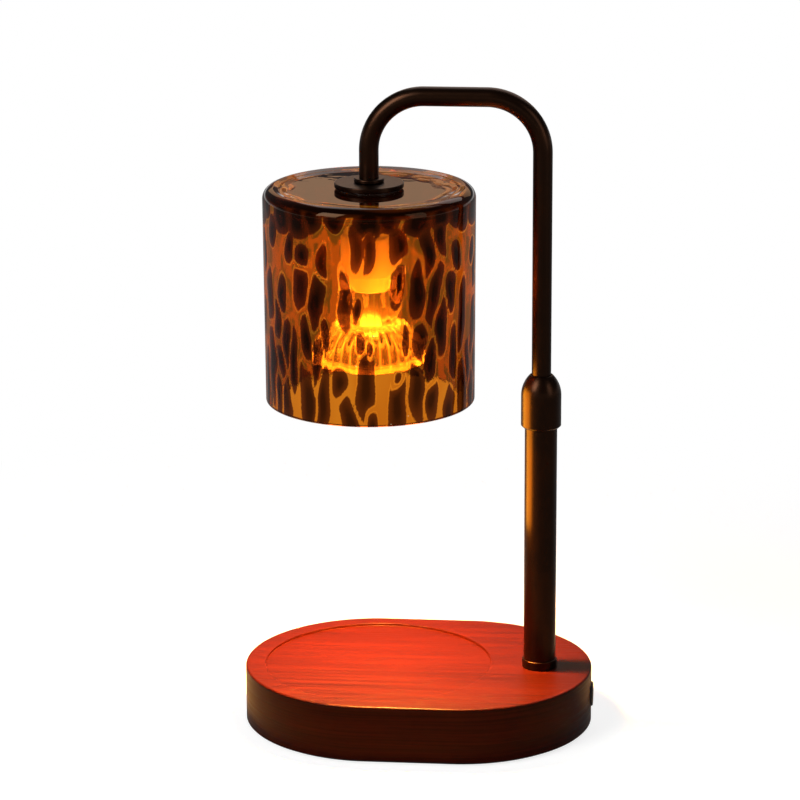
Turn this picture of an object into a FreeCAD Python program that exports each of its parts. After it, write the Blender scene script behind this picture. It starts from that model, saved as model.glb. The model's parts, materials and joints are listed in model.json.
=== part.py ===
"""Candle warmer lamp: a wooden racetrack base, a telescopic pole with a gooseneck arm, and a glass
shade with a twist-lock bulb that hangs over the candle's place.

The origin is the middle of the pad's underside, where the lamp stands. +Z is up, +X runs from the
candle to the pole. Lengths are millimetres and angles are degrees.
"""
import FreeCAD, Part
import math
import os

import Sketcher
from FreeCAD import Placement, Rotation, Vector

# Driving dimensions: (name, number, what it measures).
DIMENSIONS = (
    # base
    ("board_end_radius", 61.5, "radius of the racetrack's round ends"),
    ("board_centre_gap", 40.5, "distance between the two end centres"),
    ("board_height", 26.6, "thickness of the wooden board"),
    ("board_top_round", 1.0, "rounding of the board's top edge"),
    ("board_foot_chamfer", 0.6, "chamfer of the board's bottom edge"),
    ("seat_margin", 8.3, "candle's round recess to the board's long edge"),
    ("seat_depth", 1.2, "depth of the candle's recess"),
    ("seat_shift", 1.25, "recess's centre to the end centre, towards the pole"),
    ("seat_rim_round", 0.4, "rounding of the recess's upper edge"),
    ("pad_thickness", 1.2, "anti-slip pad under the base"),
    ("pad_inset", 3.0, "pad edge to board edge"),
    ("plate_thickness", 1.5, "steel bottom plate"),
    ("rebate_inset", 4.0, "rebate edge to board edge"),
    ("cavity_inset", 14.0, "cavity wall to board edge"),
    ("cavity_depth", 15.5, "cavity above the bottom plate"),
    ("weight_radius", 40.0, "cast iron weight"),
    ("weight_height", 10.0, "cast iron weight"),
    ("plate_screw_length", 9.0, "wood screw that holds the bottom plate"),
    ("screw_radius", 1.4, "shank of the small wood screws"),
    ("screw_head_radius", 2.8, "head of the small wood screws"),
    ("screw_head_height", 1.3, "head of the small wood screws"),
    # cord inlet
    ("cord_height", 13.4, "cord axis above the board's underside"),
    ("cord_bore_radius", 3.0, "bore of the cord bush"),
    ("bush_radius", 4.4, "barrel of the cord bush"),
    ("bush_flange_radius", 5.8, "flange of the cord bush"),
    ("bush_flange_thickness", 1.3, "flange of the cord bush"),
    ("bush_sink", 0.4, "depth of the flat that the flange seats in"),
    ("clamp_width", 20.0, "cord clamp across the cord"),
    ("clamp_length", 7.0, "cord clamp along the cord"),
    ("clamp_height", 6.0, "cord clamp under the cavity's roof"),
    ("clamp_screw_spread", 7.0, "clamp screw to the cord's axis"),
    ("clamp_screw_length", 12.0, "shank of a clamp screw"),
    ("clamp_setback", 21.2, "cord clamp to the pole's axis, along X"),
    ("clamp_y", 24.0, "distance from the clamp's middle to the XZ plane"),
    ("terminal_width", 18.0, "terminal block along Y"),
    ("terminal_length", 14.0, "terminal block along X"),
    ("terminal_height", 9.0, "terminal block under the cavity's roof"),
    ("terminal_wire_radius", 1.7, "wire way of the terminal block"),
    ("terminal_y", 14.0, "distance from the block's middle to the XZ plane"),
    # pole
    ("pole_inset", 24.55, "pole's axis to the board's end"),
    ("lower_tube_radius", 7.5, "lower tube"),
    ("lower_tube_wall", 1.0, "lower tube"),
    ("lower_tube_length", 122.2, "lower tube above the board"),
    ("foot_ring_radius", 8.2, "ring round the pole's foot"),
    ("foot_ring_height", 4.2, "ring round the pole's foot"),
    ("foot_ring_chamfer", 0.5, "ring round the pole's foot"),
    ("nipple_radius", 4.9, "threaded tube that ties the pole to the board"),
    ("nipple_bore_radius", 3.4, "way for the lead"),
    ("insert_length", 16.0, "plug in the lower tube's foot"),
    ("washer_radius", 9.8, "washer under the board"),
    ("washer_thickness", 1.5, "washer under the board"),
    ("nut_height", 4.0, "nut under the board"),
    ("nut_flats", 14.0, "nut under the board, across flats"),
    ("nipple_tail", 2.0, "thread that shows below the nut"),
    # lock collar
    ("collar_radius", 9.3, "lock collar"),
    ("collar_skirt", 4.7, "collar that hangs over the lower tube"),
    ("collar_height", 24.9, "lock collar, foot to top"),
    ("collar_dome_height", 9.8, "rounded top of the collar"),
    ("collar_foot_chamfer", 0.9, "bottom edge of the collar"),
    ("ferrule_plug_length", 11.0, "ferrule inside the lower tube"),
    ("ferrule_neck_length", 11.0, "ferrule above the lower tube"),
    ("ferrule_thread_radius", 6.9, "thread that the collar turns on"),
    ("collet_wall", 1.3, "split collet"),
    ("collet_length", 12.0, "collet inside the ferrule"),
    ("collet_nose_length", 4.5, "tapered end of the collet"),
    ("collet_nose_wall", 0.5, "wall at the collet's tip"),
    ("collet_slit", 0.8, "slit that lets the collet close"),
    # arm
    ("arm_tube_radius", 4.5, "upper tube"),
    ("arm_tube_wall", 1.0, "upper tube"),
    ("arm_rise", 271.7, "board's top to the arm's centreline"),
    ("arm_reach", 79.2, "pole axis to shade axis"),
    ("arm_bend_radius", 25.3, "bends of the upper tube, at the centreline"),
    ("arm_tube_hidden", 60.0, "upper tube inside the lower one"),
    ("guide_bush_length", 12.0, "bush that slides in the lower tube"),
    ("guide_bush_lift", 3.0, "upper tube's end to the bush"),
    ("ring_thickness", 1.5, "retaining ring of the guide bush"),
    ("ring_wall", 1.3, "retaining ring of the guide bush"),
    ("lead_radius", 2.8, "lead inside the upper tube"),
    # shade
    ("stem_drop", 39.9, "arm centreline to the top disc's upper face"),
    ("neck_ring_radius", 6.9, "ring above the top disc"),
    ("neck_ring_height", 2.0, "ring above the top disc"),
    ("disc_radius", 15.9, "top disc"),
    ("disc_thickness", 2.4, "top disc"),
    ("gasket_thickness", 0.8, "silicone washers each side of the glass"),
    ("gasket_radius", 14.0, "silicone washers each side of the glass"),
    ("clamp_plate_thickness", 1.5, "steel plate under the glass"),
    ("shade_nut_height", 3.5, "nut under the steel plate"),
    ("stem_nut_flats", 12.0, "nuts on the upper tube's end, across flats"),
    ("shade_height", 100.5, "glass shade"),
    ("shade_radius", 48.8, "glass shade at its shoulder"),
    ("shade_taper", 0.5, "how much narrower the glass is at its mouth"),
    ("glass_wall", 3.5, "side of the glass"),
    ("glass_roof", 4.0, "top of the glass"),
    ("glass_shoulder", 5.0, "rounding of the glass's shoulder"),
    ("dish_radius", 38.0, "flat middle of the glass's top"),
    ("dish_depth", 1.0, "how far the flat middle lies under the rim"),
    ("glass_hole_radius", 5.5, "hole for the upper tube"),
    # socket
    ("socket_drop", 21.4, "top disc's upper face to the socket cup's top"),
    ("cup_radius", 13.7, "socket cup"),
    ("cup_wall", 0.8, "socket cup"),
    ("cup_height", 20.8, "socket cup"),
    ("cup_shoulder", 3.0, "rounding of the cup's shoulder"),
    ("bracket_thickness", 1.0, "plate inside the cup's top"),
    ("bracket_radius", 10.5, "plate inside the cup's top"),
    ("socket_nut_height", 3.0, "nut inside the cup"),
    ("holder_radius", 12.0, "ceramic lamp holder"),
    ("holder_height", 14.0, "ceramic lamp holder"),
    ("holder_chamfer", 2.0, "upper edge of the lamp holder"),
    ("holder_screw_radius", 1.25, "screws of the lamp holder"),
    ("holder_screw_spread", 8.8, "screws of the lamp holder, from its axis"),
    ("holder_screw_head_radius", 2.0, "screws of the lamp holder"),
    ("holder_screw_head_height", 1.5, "screws of the lamp holder"),
    ("slot_depth", 9.0, "pin slot of the lamp holder"),
    ("contact_thickness", 0.8, "contact at the slot's end"),
    ("contact_inset_angle", 1.0, "contact's end to the slot's end"),
    # bulb
    ("pin_spread", 5.0, "bulb pin to the bulb's axis"),
    ("pin_neck_radius", 1.6, "bulb pin"),
    ("pin_head_radius", 2.5, "bulb pin"),
    ("pin_neck_length", 4.2, "bulb pin"),
    ("pin_head_length", 2.8, "bulb pin"),
    ("twist_angle", 20.0, "turn that frees the bulb"),
    ("slot_margin_angle", 38.0, "arc of the pin slot beyond the pin's centre"),
    ("bulb_base_radius", 12.3, "ceramic base of the bulb"),
    ("bulb_base_height", 11.6, "ceramic base of the bulb"),
    ("bulb_neck_radius", 12.5, "glass neck of the bulb"),
    ("bulb_neck_height", 15.5, "glass neck of the bulb"),
    ("bulb_rim_radius", 25.2, "front rim of the bulb"),
    ("bulb_rim_height", 3.4, "front rim of the bulb"),
    ("bulb_flare_height", 16.1, "reflector between rim and neck"),
    ("bulb_wall", 1.4, "wall of the reflector"),
    ("lens_thickness", 1.5, "front glass of the bulb"),
    ("lens_sink", 0.4, "front glass behind the rim"),
    ("capsule_radius", 4.8, "quartz capsule"),
    ("capsule_wall", 0.8, "quartz capsule"),
    ("capsule_reach", 12.0, "capsule below the neck's lower end"),
    ("filament_radius", 0.9, "coiled filament"),
    ("filament_length", 5.0, "coiled filament"),
    ("filament_leg_radius", 0.3, "legs of the filament"),
    # clearances
    ("seat_clearance", 0.05, "between round faces of one body"),
    ("running_clearance", 0.08, "radial, between parts that slide or turn on each other"),
    ("free_clearance", 0.3, "between parts that move past each other"),
    ("screw_clearance", 0.2, "radial, round a screw that passes through"),
)


class Size:
    """A length or an angle that keeps both its number and the formula it comes from."""

    def __init__(self, number, formula):
        self.number = number
        self.formula = formula

    def __add__(self, other):
        other = as_size(other)
        return Size(self.number + other.number, f"({self.formula} + {other.formula})")

    def __sub__(self, other):
        other = as_size(other)
        return Size(self.number - other.number, f"({self.formula} - {other.formula})")

    def __mul__(self, other):
        other = as_size(other)
        return Size(self.number * other.number, f"({self.formula} * {other.formula})")

    def __truediv__(self, other):
        other = as_size(other)
        return Size(self.number / other.number, f"({self.formula} / {other.formula})")

    def __radd__(self, other):
        return as_size(other) + self

    def __rsub__(self, other):
        return as_size(other) - self

    def __rmul__(self, other):
        return as_size(other) * self

    def __neg__(self):
        return Size(-self.number, f"(0 - {self.formula})")


def as_size(value):
    """A Size as it is, or a plain number as a Size."""
    if isinstance(value, Size):
        return value
    return Size(float(value), repr(float(value)))


def root(size):
    """The square root of a size."""
    return Size(math.sqrt(size.number), f"sqrt({size.formula})")


def cosine(angle):
    """The cosine of an angle in degrees."""
    angle = as_size(angle)
    return Size(math.cos(math.radians(angle.number)), f"cos({angle.formula})")


def sine(angle):
    """The sine of an angle in degrees."""
    angle = as_size(angle)
    return Size(math.sin(math.radians(angle.number)), f"sin({angle.formula})")


document = FreeCAD.newDocument("candle_warmer_lamp")
sheet = document.addObject("Spreadsheet::Sheet", "Sizes")


class Dimensions:
    """The driving dimensions by name, each bound to its cell in the sheet."""


dim = Dimensions()
for row, (name, number, meaning) in enumerate(DIMENSIONS, start=1):
    sheet.set(f"A{row}", name)
    sheet.set(f"B{row}", str(number))
    sheet.set(f"C{row}", meaning)
    sheet.setAlias(f"B{row}", name)
    setattr(dim, name, Size(number, f"Sizes.{name}"))
document.recompute()


# ---------------------------------------------------------------- places that pieces share
board_foot_z = dim.pad_thickness
board_top_z = board_foot_z + dim.board_height
cavity_floor_z = board_foot_z + dim.plate_thickness
cavity_roof_z = cavity_floor_z + dim.cavity_depth
end_centre_x = dim.board_centre_gap / 2
board_end_x = end_centre_x + dim.board_end_radius
seat_radius = dim.board_end_radius - dim.seat_margin
seat_x = dim.seat_shift - end_centre_x
cord_z = board_foot_z + dim.cord_height

pole_x = board_end_x - dim.pole_inset
clamp_x = pole_x - dim.clamp_setback
tube_bore_radius = dim.lower_tube_radius - dim.lower_tube_wall
tube_top_z = board_top_z + dim.lower_tube_length
washer_z = cavity_roof_z - dim.washer_thickness
nut_z = washer_z - dim.nut_height
nipple_foot_z = nut_z - dim.nipple_tail
collar_foot_z = tube_top_z - dim.collar_skirt

arm_z = board_top_z + dim.arm_rise
shade_x = pole_x - dim.arm_reach
arm_foot_z = tube_top_z - dim.arm_tube_hidden
guide_bush_z = arm_foot_z + dim.guide_bush_lift

disc_top_z = arm_z - dim.stem_drop
disc_z = disc_top_z - dim.disc_thickness
glass_flat_z = disc_z - dim.gasket_thickness
glass_ceiling_z = glass_flat_z - dim.glass_roof
lower_gasket_z = glass_ceiling_z - dim.gasket_thickness
clamp_plate_z = lower_gasket_z - dim.clamp_plate_thickness
shade_nut_z = clamp_plate_z - dim.shade_nut_height
shade_mouth_z = glass_flat_z + dim.dish_depth - dim.shade_height

cup_top_z = disc_top_z - dim.socket_drop
cup_z = cup_top_z - dim.cup_height
bracket_z = cup_top_z - dim.cup_wall - dim.bracket_thickness
socket_nut_z = bracket_z - dim.socket_nut_height
holder_z = bracket_z - dim.holder_height
arm_end_z = socket_nut_z
bulb_base_z = holder_z - dim.free_clearance - dim.bulb_base_height
bulb_neck_z = bulb_base_z - dim.bulb_neck_height
bulb_face_z = bulb_neck_z - dim.bulb_flare_height - dim.bulb_rim_height
contact_z = holder_z + dim.slot_depth - dim.contact_thickness

# The plate screws stand at the corners of a square, in the middle of the rebate's ledge:
# their distance from the end centre is the ledge's middle radius.
ledge_radius = dim.board_end_radius - (dim.rebate_inset + dim.cavity_inset) / 2
plate_screw_x = (end_centre_x + root(2 * ledge_radius * ledge_radius - end_centre_x * end_centre_x)) / 2

# The terminal block fills the room between the weight and the washer.
terminal_x = (pole_x - dim.washer_radius + dim.weight_radius - end_centre_x) / 2


# ---------------------------------------------------------------- building blocks
pieces = []


def bind(target, path, size):
    """Tie a property to the sheet."""
    target.setExpression(path, as_size(size).formula)


def place(target, x=0, y=0, z=0, rotation=None):
    """Put a sub-part where it belongs."""
    if rotation:
        target.Placement = Placement(Vector(0, 0, 0), rotation)
    for axis, size in (("x", x), ("y", y), ("z", z)):
        bind(target, f".Placement.Base.{axis}", size)


def new_body(label, x=0, y=0, z=0, rotation=None):
    """A sub-part that is built up feature by feature."""
    body = document.addObject("PartDesign::Body", label)
    body.Label = label
    body.AllowCompound = True
    place(body, x, y, z, rotation)
    pieces.append(body)
    return body


def origin_item(body, role):
    """One of the body's own origin planes or axes."""
    return next(item for item in body.Origin.OriginFeatures if item.Role == role)


def new_sketch(body, role, lift=0, shift=0):
    """An empty sketch on an origin plane, lifted along the plane's normal and shifted across it."""
    sketch = body.newObject("Sketcher::SketchObject", f"{body.Label}_sketch")
    sketch.AttachmentSupport = [(origin_item(body, role), "")]
    sketch.MapMode = "FlatFace"
    bind(sketch, ".AttachmentOffset.Base.z", lift)
    bind(sketch, ".AttachmentOffset.Base.x", shift)
    return sketch


def pin_point(sketch, geometry, point, across, up):
    """Fix a point of the sketch by its distances from the sketch's axes."""
    for kind, size, axis in (("DistanceX", as_size(across), -2), ("DistanceY", as_size(up), -1)):
        if size.formula == as_size(0).formula:
            sketch.addConstraint(Sketcher.Constraint("PointOnObject", geometry, point, axis))
            continue
        index = sketch.addConstraint(Sketcher.Constraint(kind, -1, 1, geometry, point, size.number))
        sketch.setExpression(f"Constraints[{index}]", size.formula)


def draw_edge(sketch, start, end):
    """A line, or an arc where the end corner names its centre and turn.

    Returns the edge's number and which of its points are its start and its end."""
    start_point = Vector(as_size(start[0]).number, as_size(start[1]).number, 0)
    end_point = Vector(as_size(end[0]).number, as_size(end[1]).number, 0)
    if len(end) == 2:
        return sketch.addGeometry(Part.LineSegment(start_point, end_point), False), 1, 2
    centre_x, centre_y, turn = as_size(end[2]), as_size(end[3]), end[4]
    centre = Vector(centre_x.number, centre_y.number, 0)
    circle = Part.Circle(centre, Vector(0, 0, 1), (start_point - centre).Length)
    first, last = (start_point, end_point) if turn > 0 else (end_point, start_point)
    angles = [math.atan2(point.y - centre.y, point.x - centre.x) for point in (first, last)]
    if angles[1] <= angles[0]:
        angles[1] += 2 * math.pi
    edge = sketch.addGeometry(Part.ArcOfCircle(circle, *angles), False)
    chord = end_point - start_point
    kind, size = ("DistanceX", centre_x) if abs(chord.y) > abs(chord.x) else ("DistanceY", centre_y)
    if size.formula == as_size(0).formula:
        axis = -2 if kind == "DistanceX" else -1
        sketch.addConstraint(Sketcher.Constraint("PointOnObject", edge, 3, axis))
    else:
        index = sketch.addConstraint(Sketcher.Constraint(kind, -1, 1, edge, 3, size.number))
        sketch.setExpression(f"Constraints[{index}]", size.formula)
    return (edge, 1, 2) if turn > 0 else (edge, 2, 1)


def draw_chain(sketch, corners, closed=True):
    """Edges from corner to corner. A corner is (across, up), or (across, up, centre across,
    centre up, turn) where an arc arrives: turn is 1 anticlockwise and -1 clockwise."""
    starts = corners[-1:] + corners[:-1] if closed else corners[:-1]
    ends = corners if closed else corners[1:]
    edges = [draw_edge(sketch, start, end) for start, end in zip(starts, ends)]
    for (edge, _, end_id), corner in zip(edges, ends):
        pin_point(sketch, edge, end_id, corner[0], corner[1])
    followers = edges[1:] + edges[:1] if closed else edges[1:]
    for (edge, _, end_id), (follower, start_id, _) in zip(edges, followers):
        sketch.addConstraint(Sketcher.Constraint("Coincident", edge, end_id, follower, start_id))
    if not closed:
        pin_point(sketch, edges[0][0], edges[0][1], corners[0][0], corners[0][1])


def draw_circle(sketch, radius, across=0, up=0):
    """A circle with its centre pinned."""
    centre = Vector(as_size(across).number, as_size(up).number, 0)
    edge = sketch.addGeometry(Part.Circle(centre, Vector(0, 0, 1), as_size(radius).number), False)
    index = sketch.addConstraint(Sketcher.Constraint("Radius", edge, as_size(radius).number))
    sketch.setExpression(f"Constraints[{index}]", as_size(radius).formula)
    if as_size(across).formula == as_size(0).formula and as_size(up).formula == as_size(0).formula:
        sketch.addConstraint(Sketcher.Constraint("Coincident", edge, 3, -1, 1))
    else:
        pin_point(sketch, edge, 3, across, up)


def racetrack(inset):
    """The base's outline, moved inwards."""
    radius = dim.board_end_radius - inset
    half_gap = dim.board_centre_gap / 2
    return [
        (half_gap, -radius),
        (half_gap, radius, half_gap, 0, 1),
        (-half_gap, radius),
        (-half_gap, -radius, -half_gap, 0, 1),
    ]


def ring_profile(inner, outer, height):
    """Half section of a plain ring."""
    return [(inner, 0), (outer, 0), (outer, height), (inner, height)]


def revolve(body, sketch):
    """Turn the sketch once round its upright axis."""
    turned = body.newObject("PartDesign::Revolution", f"{body.Label}_turned")
    turned.Profile = sketch
    turned.ReferenceAxis = (sketch, ["V_Axis"])
    turned.Angle = 360
    body.Tip = turned
    return turned


def turned_body(label, corners, x=0, y=0, z=0, rotation=None, shift=0, lift=0):
    """A lathe-turned sub-part from its half section in the body's XZ plane."""
    body = new_body(label, x, y, z, rotation)
    sketch = new_sketch(body, "XZ_Plane", lift, shift)
    draw_chain(sketch, corners)
    revolve(body, sketch)
    return body


def pad(body, sketch, length):
    """Raise the sketch along its normal."""
    raised = body.newObject("PartDesign::Pad", f"{body.Label}_pad")
    raised.Profile = sketch
    bind(raised, "Length", length)
    body.Tip = raised
    return raised


def pocket(body, sketch, depth, along_normal=False):
    """Cut the sketch's shape against its normal, or along it."""
    cut = body.newObject("PartDesign::Pocket", f"{body.Label}_pocket")
    cut.Profile = sketch
    cut.Reversed = along_normal
    bind(cut, "Length", depth)
    body.Tip = cut
    return cut


def round_pocket(body, radius, depth, x=0, y=0, lift=0, along_normal=False):
    """A round hole, down from a level of the body or up from it."""
    sketch = new_sketch(body, "XY_Plane", lift)
    draw_circle(sketch, radius, x, y)
    return pocket(body, sketch, depth, along_normal)


def copies_round(body, feature, count):
    """Equal copies of a feature round the body's own Z axis."""
    pattern = body.newObject("PartDesign::PolarPattern", f"{body.Label}_copies")
    pattern.Originals = [feature]
    pattern.Axis = (origin_item(body, "Z_Axis"), [""])
    pattern.Angle = 360
    pattern.Occurrences = count
    body.Tip = pattern
    return pattern


def edges_at(body, test):
    """Names of the tip's edges whose every vertex passes a test, in the body's own frame."""
    document.recompute()
    shape = body.Tip.Shape
    return [
        f"Edge{number}"
        for number, edge in enumerate(shape.Edges, start=1)
        if all(test(vertex.Point) for vertex in edge.Vertexes)
    ]


def ease_edges(body, kind, size, test):
    """Fillet or chamfer the edges that pass a test."""
    base = body.Tip
    names = edges_at(body, test)
    eased = body.newObject(f"PartDesign::{kind}", f"{body.Label}_{kind.lower()}")
    eased.Base = (base, names)
    bind(eased, "Radius" if kind == "Fillet" else "Size", size)
    body.Tip = eased
    return eased


def hex_nut(label, flats, bore, height, x, z):
    """A plain hexagon nut."""
    body = new_body(label, x, 0, z)
    sketch = new_sketch(body, "XY_Plane")
    corner_radius = flats / (2 * cosine(30))
    corners = [(corner_radius * cosine(60 * turn), corner_radius * sine(60 * turn)) for turn in range(6)]
    draw_chain(sketch, corners)
    draw_circle(sketch, bore)
    pad(body, sketch, height)
    return body


def near(first, second):
    """Whether two lengths agree to a hundredth of a millimetre."""
    return abs(first - second) < 0.01


# ---------------------------------------------------------------- base
def base_board():
    """Wooden racetrack with the candle's recess above, and a rebate and a cavity below."""
    body = new_body("base_board", z=board_foot_z)
    outline = new_sketch(body, "XY_Plane")
    draw_chain(outline, racetrack(0))
    pad(body, outline, dim.board_height)
    height = dim.board_height.number
    ease_edges(body, "Fillet", dim.board_top_round, lambda point: near(point.z, height))
    ease_edges(body, "Chamfer", dim.board_foot_chamfer, lambda point: near(point.z, 0))
    round_pocket(body, seat_radius, dim.seat_depth, x=seat_x, lift=dim.board_height)
    ease_edges(
        body,
        "Fillet",
        dim.seat_rim_round,
        lambda point: near(point.z, height)
        and near(math.hypot(point.x - seat_x.number, point.y), seat_radius.number),
    )
    for inset, depth in (
        (dim.rebate_inset, dim.plate_thickness),
        (dim.cavity_inset, dim.plate_thickness + dim.cavity_depth),
    ):
        hollow = new_sketch(body, "XY_Plane")
        draw_chain(hollow, racetrack(inset))
        pocket(body, hollow, depth, along_normal=True)
    hole_radius = dim.nipple_radius + dim.screw_clearance
    round_pocket(body, hole_radius, dim.board_height, x=pole_x, along_normal=True)

    pilot_radius = dim.screw_radius + dim.seat_clearance
    pilot = round_pocket(
        body,
        pilot_radius,
        dim.plate_thickness + dim.plate_screw_length,
        x=plate_screw_x,
        y=plate_screw_x,
        along_normal=True,
    )
    copies_round(body, pilot, 4)
    roof = dim.plate_thickness + dim.cavity_depth
    clamp_pilot_depth = roof + dim.clamp_screw_length - dim.clamp_height + dim.free_clearance
    for side in (-1, 1):
        round_pocket(
            body,
            pilot_radius,
            clamp_pilot_depth,
            x=clamp_x,
            y=dim.clamp_y + side * dim.clamp_screw_spread,
            along_normal=True,
        )

    end = new_sketch(body, "YZ_Plane", lift=board_end_x)
    draw_circle(end, dim.bush_flange_radius + dim.free_clearance, 0, dim.cord_height)
    pocket(body, end, dim.bush_sink)
    bore = new_sketch(body, "YZ_Plane", lift=board_end_x)
    draw_circle(bore, dim.bush_radius + dim.seat_clearance, 0, dim.cord_height)
    pocket(body, bore, dim.cavity_inset + dim.bush_radius)


def anti_slip_pad():
    """Foam sheet that the lamp stands on."""
    body = new_body("anti_slip_pad")
    outline = new_sketch(body, "XY_Plane")
    draw_chain(outline, racetrack(dim.pad_inset))
    pad(body, outline, dim.pad_thickness)


def bottom_plate():
    """Steel plate that closes the cavity, countersunk for its four screws."""
    body = new_body("bottom_plate", z=board_foot_z)
    outline = new_sketch(body, "XY_Plane")
    draw_chain(outline, racetrack(dim.rebate_inset + dim.free_clearance))
    pad(body, outline, dim.plate_thickness)
    countersink = new_sketch(body, "XZ_Plane", lift=-plate_screw_x, shift=plate_screw_x)
    rim = dim.screw_head_radius + dim.seat_clearance
    throat = dim.screw_radius + dim.seat_clearance
    section = [
        (0, 0),
        (rim, 0),
        (throat, dim.screw_head_height),
        (throat, dim.plate_thickness),
        (0, dim.plate_thickness),
    ]
    draw_chain(countersink, section)
    groove = body.newObject("PartDesign::Groove", "plate_countersink")
    groove.Profile = countersink
    groove.ReferenceAxis = (countersink, ["V_Axis"])
    groove.Angle = 360
    body.Tip = groove
    copies_round(body, groove, 4)


def plate_screws():
    """Four countersunk wood screws, point up."""
    section = [
        (0, 0),
        (dim.screw_head_radius, 0),
        (dim.screw_radius, dim.screw_head_height),
        (dim.screw_radius, dim.plate_screw_length - dim.screw_radius),
        (0, dim.plate_screw_length),
    ]
    body = turned_body("plate_screws", section, z=board_foot_z, shift=plate_screw_x, lift=-plate_screw_x)
    copies_round(body, body.Tip, 4)


def base_weight():
    """Cast iron disc that stands on the bottom plate, under the candle."""
    section = ring_profile(0, dim.weight_radius, dim.weight_height)
    turned_body("base_weight", section, x=-end_centre_x, z=cavity_floor_z)


def cord_bush():
    """Bush that the cord comes in through, with its flange on the board's end."""
    barrel_length = dim.cavity_inset - dim.bush_sink
    length = barrel_length + dim.bush_flange_thickness
    section = [
        (dim.cord_bore_radius, 0),
        (dim.bush_radius, 0),
        (dim.bush_radius, barrel_length),
        (dim.bush_flange_radius, barrel_length),
        (dim.bush_flange_radius - dim.bush_sink, length),
        (dim.cord_bore_radius, length),
    ]
    start_x = board_end_x - dim.bush_sink - barrel_length
    turned_body("cord_bush", section, x=start_x, z=cord_z, rotation=Rotation(Vector(0, 1, 0), 90))


def part_object(kind, name, sizes, x=0, y=0, z=0, rotation=None):
    """A Part primitive with its sizes tied to the sheet."""
    primitive = document.addObject(f"Part::{kind}", name)
    for property_name, size in sizes.items():
        bind(primitive, property_name, size)
    place(primitive, x, y, z, rotation)
    return primitive


def cut_from(label, base, tools):
    """A sub-part that is one primitive less some others."""
    bundle = document.addObject("Part::MultiFuse", f"{label}_tools")
    bundle.Shapes = tools
    result = document.addObject("Part::Cut", label)
    result.Base = base
    result.Tool = bundle
    result.Label = label
    pieces.append(result)
    return result


def cord_clamp():
    """Bridge that presses the cord against the cavity's roof."""
    foot_z = cavity_roof_z - dim.clamp_height
    block = part_object(
        "Box",
        "clamp_block",
        {"Length": dim.clamp_length, "Width": dim.clamp_width, "Height": dim.clamp_height},
        x=clamp_x - dim.clamp_length / 2,
        y=dim.clamp_y - dim.clamp_width / 2,
        z=foot_z,
    )
    channel = part_object(
        "Cylinder",
        "clamp_channel",
        {"Radius": dim.cord_bore_radius, "Height": dim.clamp_length * 2},
        x=clamp_x - dim.clamp_length,
        y=dim.clamp_y,
        z=cavity_roof_z,
        rotation=Rotation(Vector(0, 1, 0), 90),
    )
    holes = [
        part_object(
            "Cylinder",
            "clamp_hole",
            {"Radius": dim.screw_radius + dim.screw_clearance, "Height": dim.clamp_height * 3},
            x=clamp_x,
            y=dim.clamp_y + side * dim.clamp_screw_spread,
            z=foot_z - dim.clamp_height,
        )
        for side in (-1, 1)
    ]
    cut_from("cord_clamp", block, [channel] + holes)


def clamp_screws():
    """Two pan head screws that hold the cord clamp, heads down."""
    section = [
        (0, 0),
        (dim.screw_head_radius, 0),
        (dim.screw_head_radius, dim.screw_head_height),
        (dim.screw_radius, dim.screw_head_height),
        (dim.screw_radius, dim.screw_head_height + dim.clamp_screw_length),
        (0, dim.screw_head_height + dim.clamp_screw_length),
    ]
    body = turned_body(
        "clamp_screws",
        section,
        x=clamp_x,
        y=dim.clamp_y,
        z=cavity_roof_z - dim.clamp_height - dim.screw_head_height,
        lift=-dim.clamp_screw_spread,
    )
    copies_round(body, body.Tip, 2)


def terminal_block():
    """Two-way block that joins the cord to the lamp's lead, glued to the cavity's roof."""
    foot_z = cavity_roof_z - dim.terminal_height
    block = part_object(
        "Box",
        "terminal_body",
        {"Length": dim.terminal_length, "Width": dim.terminal_width, "Height": dim.terminal_height},
        x=terminal_x - dim.terminal_length / 2,
        y=-dim.terminal_y - dim.terminal_width / 2,
        z=foot_z,
    )
    ways = [
        part_object(
            "Cylinder",
            "terminal_way",
            {"Radius": dim.terminal_wire_radius, "Height": dim.terminal_length * 2},
            x=terminal_x - dim.terminal_length,
            y=-dim.terminal_y + side * dim.terminal_width / 4,
            z=foot_z + dim.terminal_height / 2,
            rotation=Rotation(Vector(0, 1, 0), 90),
        )
        for side in (-1, 1)
    ]
    cut_from("terminal_block", block, ways)


# ---------------------------------------------------------------- pole
def pole_foot_ring():
    """Ring that covers the joint between tube and board."""
    bore = dim.lower_tube_radius + dim.seat_clearance
    section = [
        (bore, 0),
        (dim.foot_ring_radius, 0),
        (dim.foot_ring_radius, dim.foot_ring_height - dim.foot_ring_chamfer),
        (dim.foot_ring_radius - dim.foot_ring_chamfer, dim.foot_ring_height),
        (bore, dim.foot_ring_height),
    ]
    turned_body("pole_foot_ring", section, x=pole_x, z=board_top_z)


def lower_tube():
    """Wide tube that stands on the board."""
    section = ring_profile(tube_bore_radius, dim.lower_tube_radius, dim.lower_tube_length)
    turned_body("lower_tube", section, x=pole_x, z=board_top_z)


def tube_insert():
    """Threaded plug in the lower tube's foot."""
    section = ring_profile(
        dim.nipple_radius + dim.seat_clearance, tube_bore_radius - dim.seat_clearance, dim.insert_length
    )
    turned_body("tube_insert", section, x=pole_x, z=board_top_z)


def threaded_nipple():
    """Hollow threaded rod through the board, and the lead's way up the pole."""
    length = board_top_z + dim.insert_length - nipple_foot_z
    section = ring_profile(dim.nipple_bore_radius, dim.nipple_radius, length)
    turned_body("threaded_nipple", section, x=pole_x, z=nipple_foot_z)


def nipple_washer():
    """Wide washer against the cavity's roof."""
    section = ring_profile(dim.nipple_radius + dim.seat_clearance, dim.washer_radius, dim.washer_thickness)
    turned_body("nipple_washer", section, x=pole_x, z=washer_z)


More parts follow.
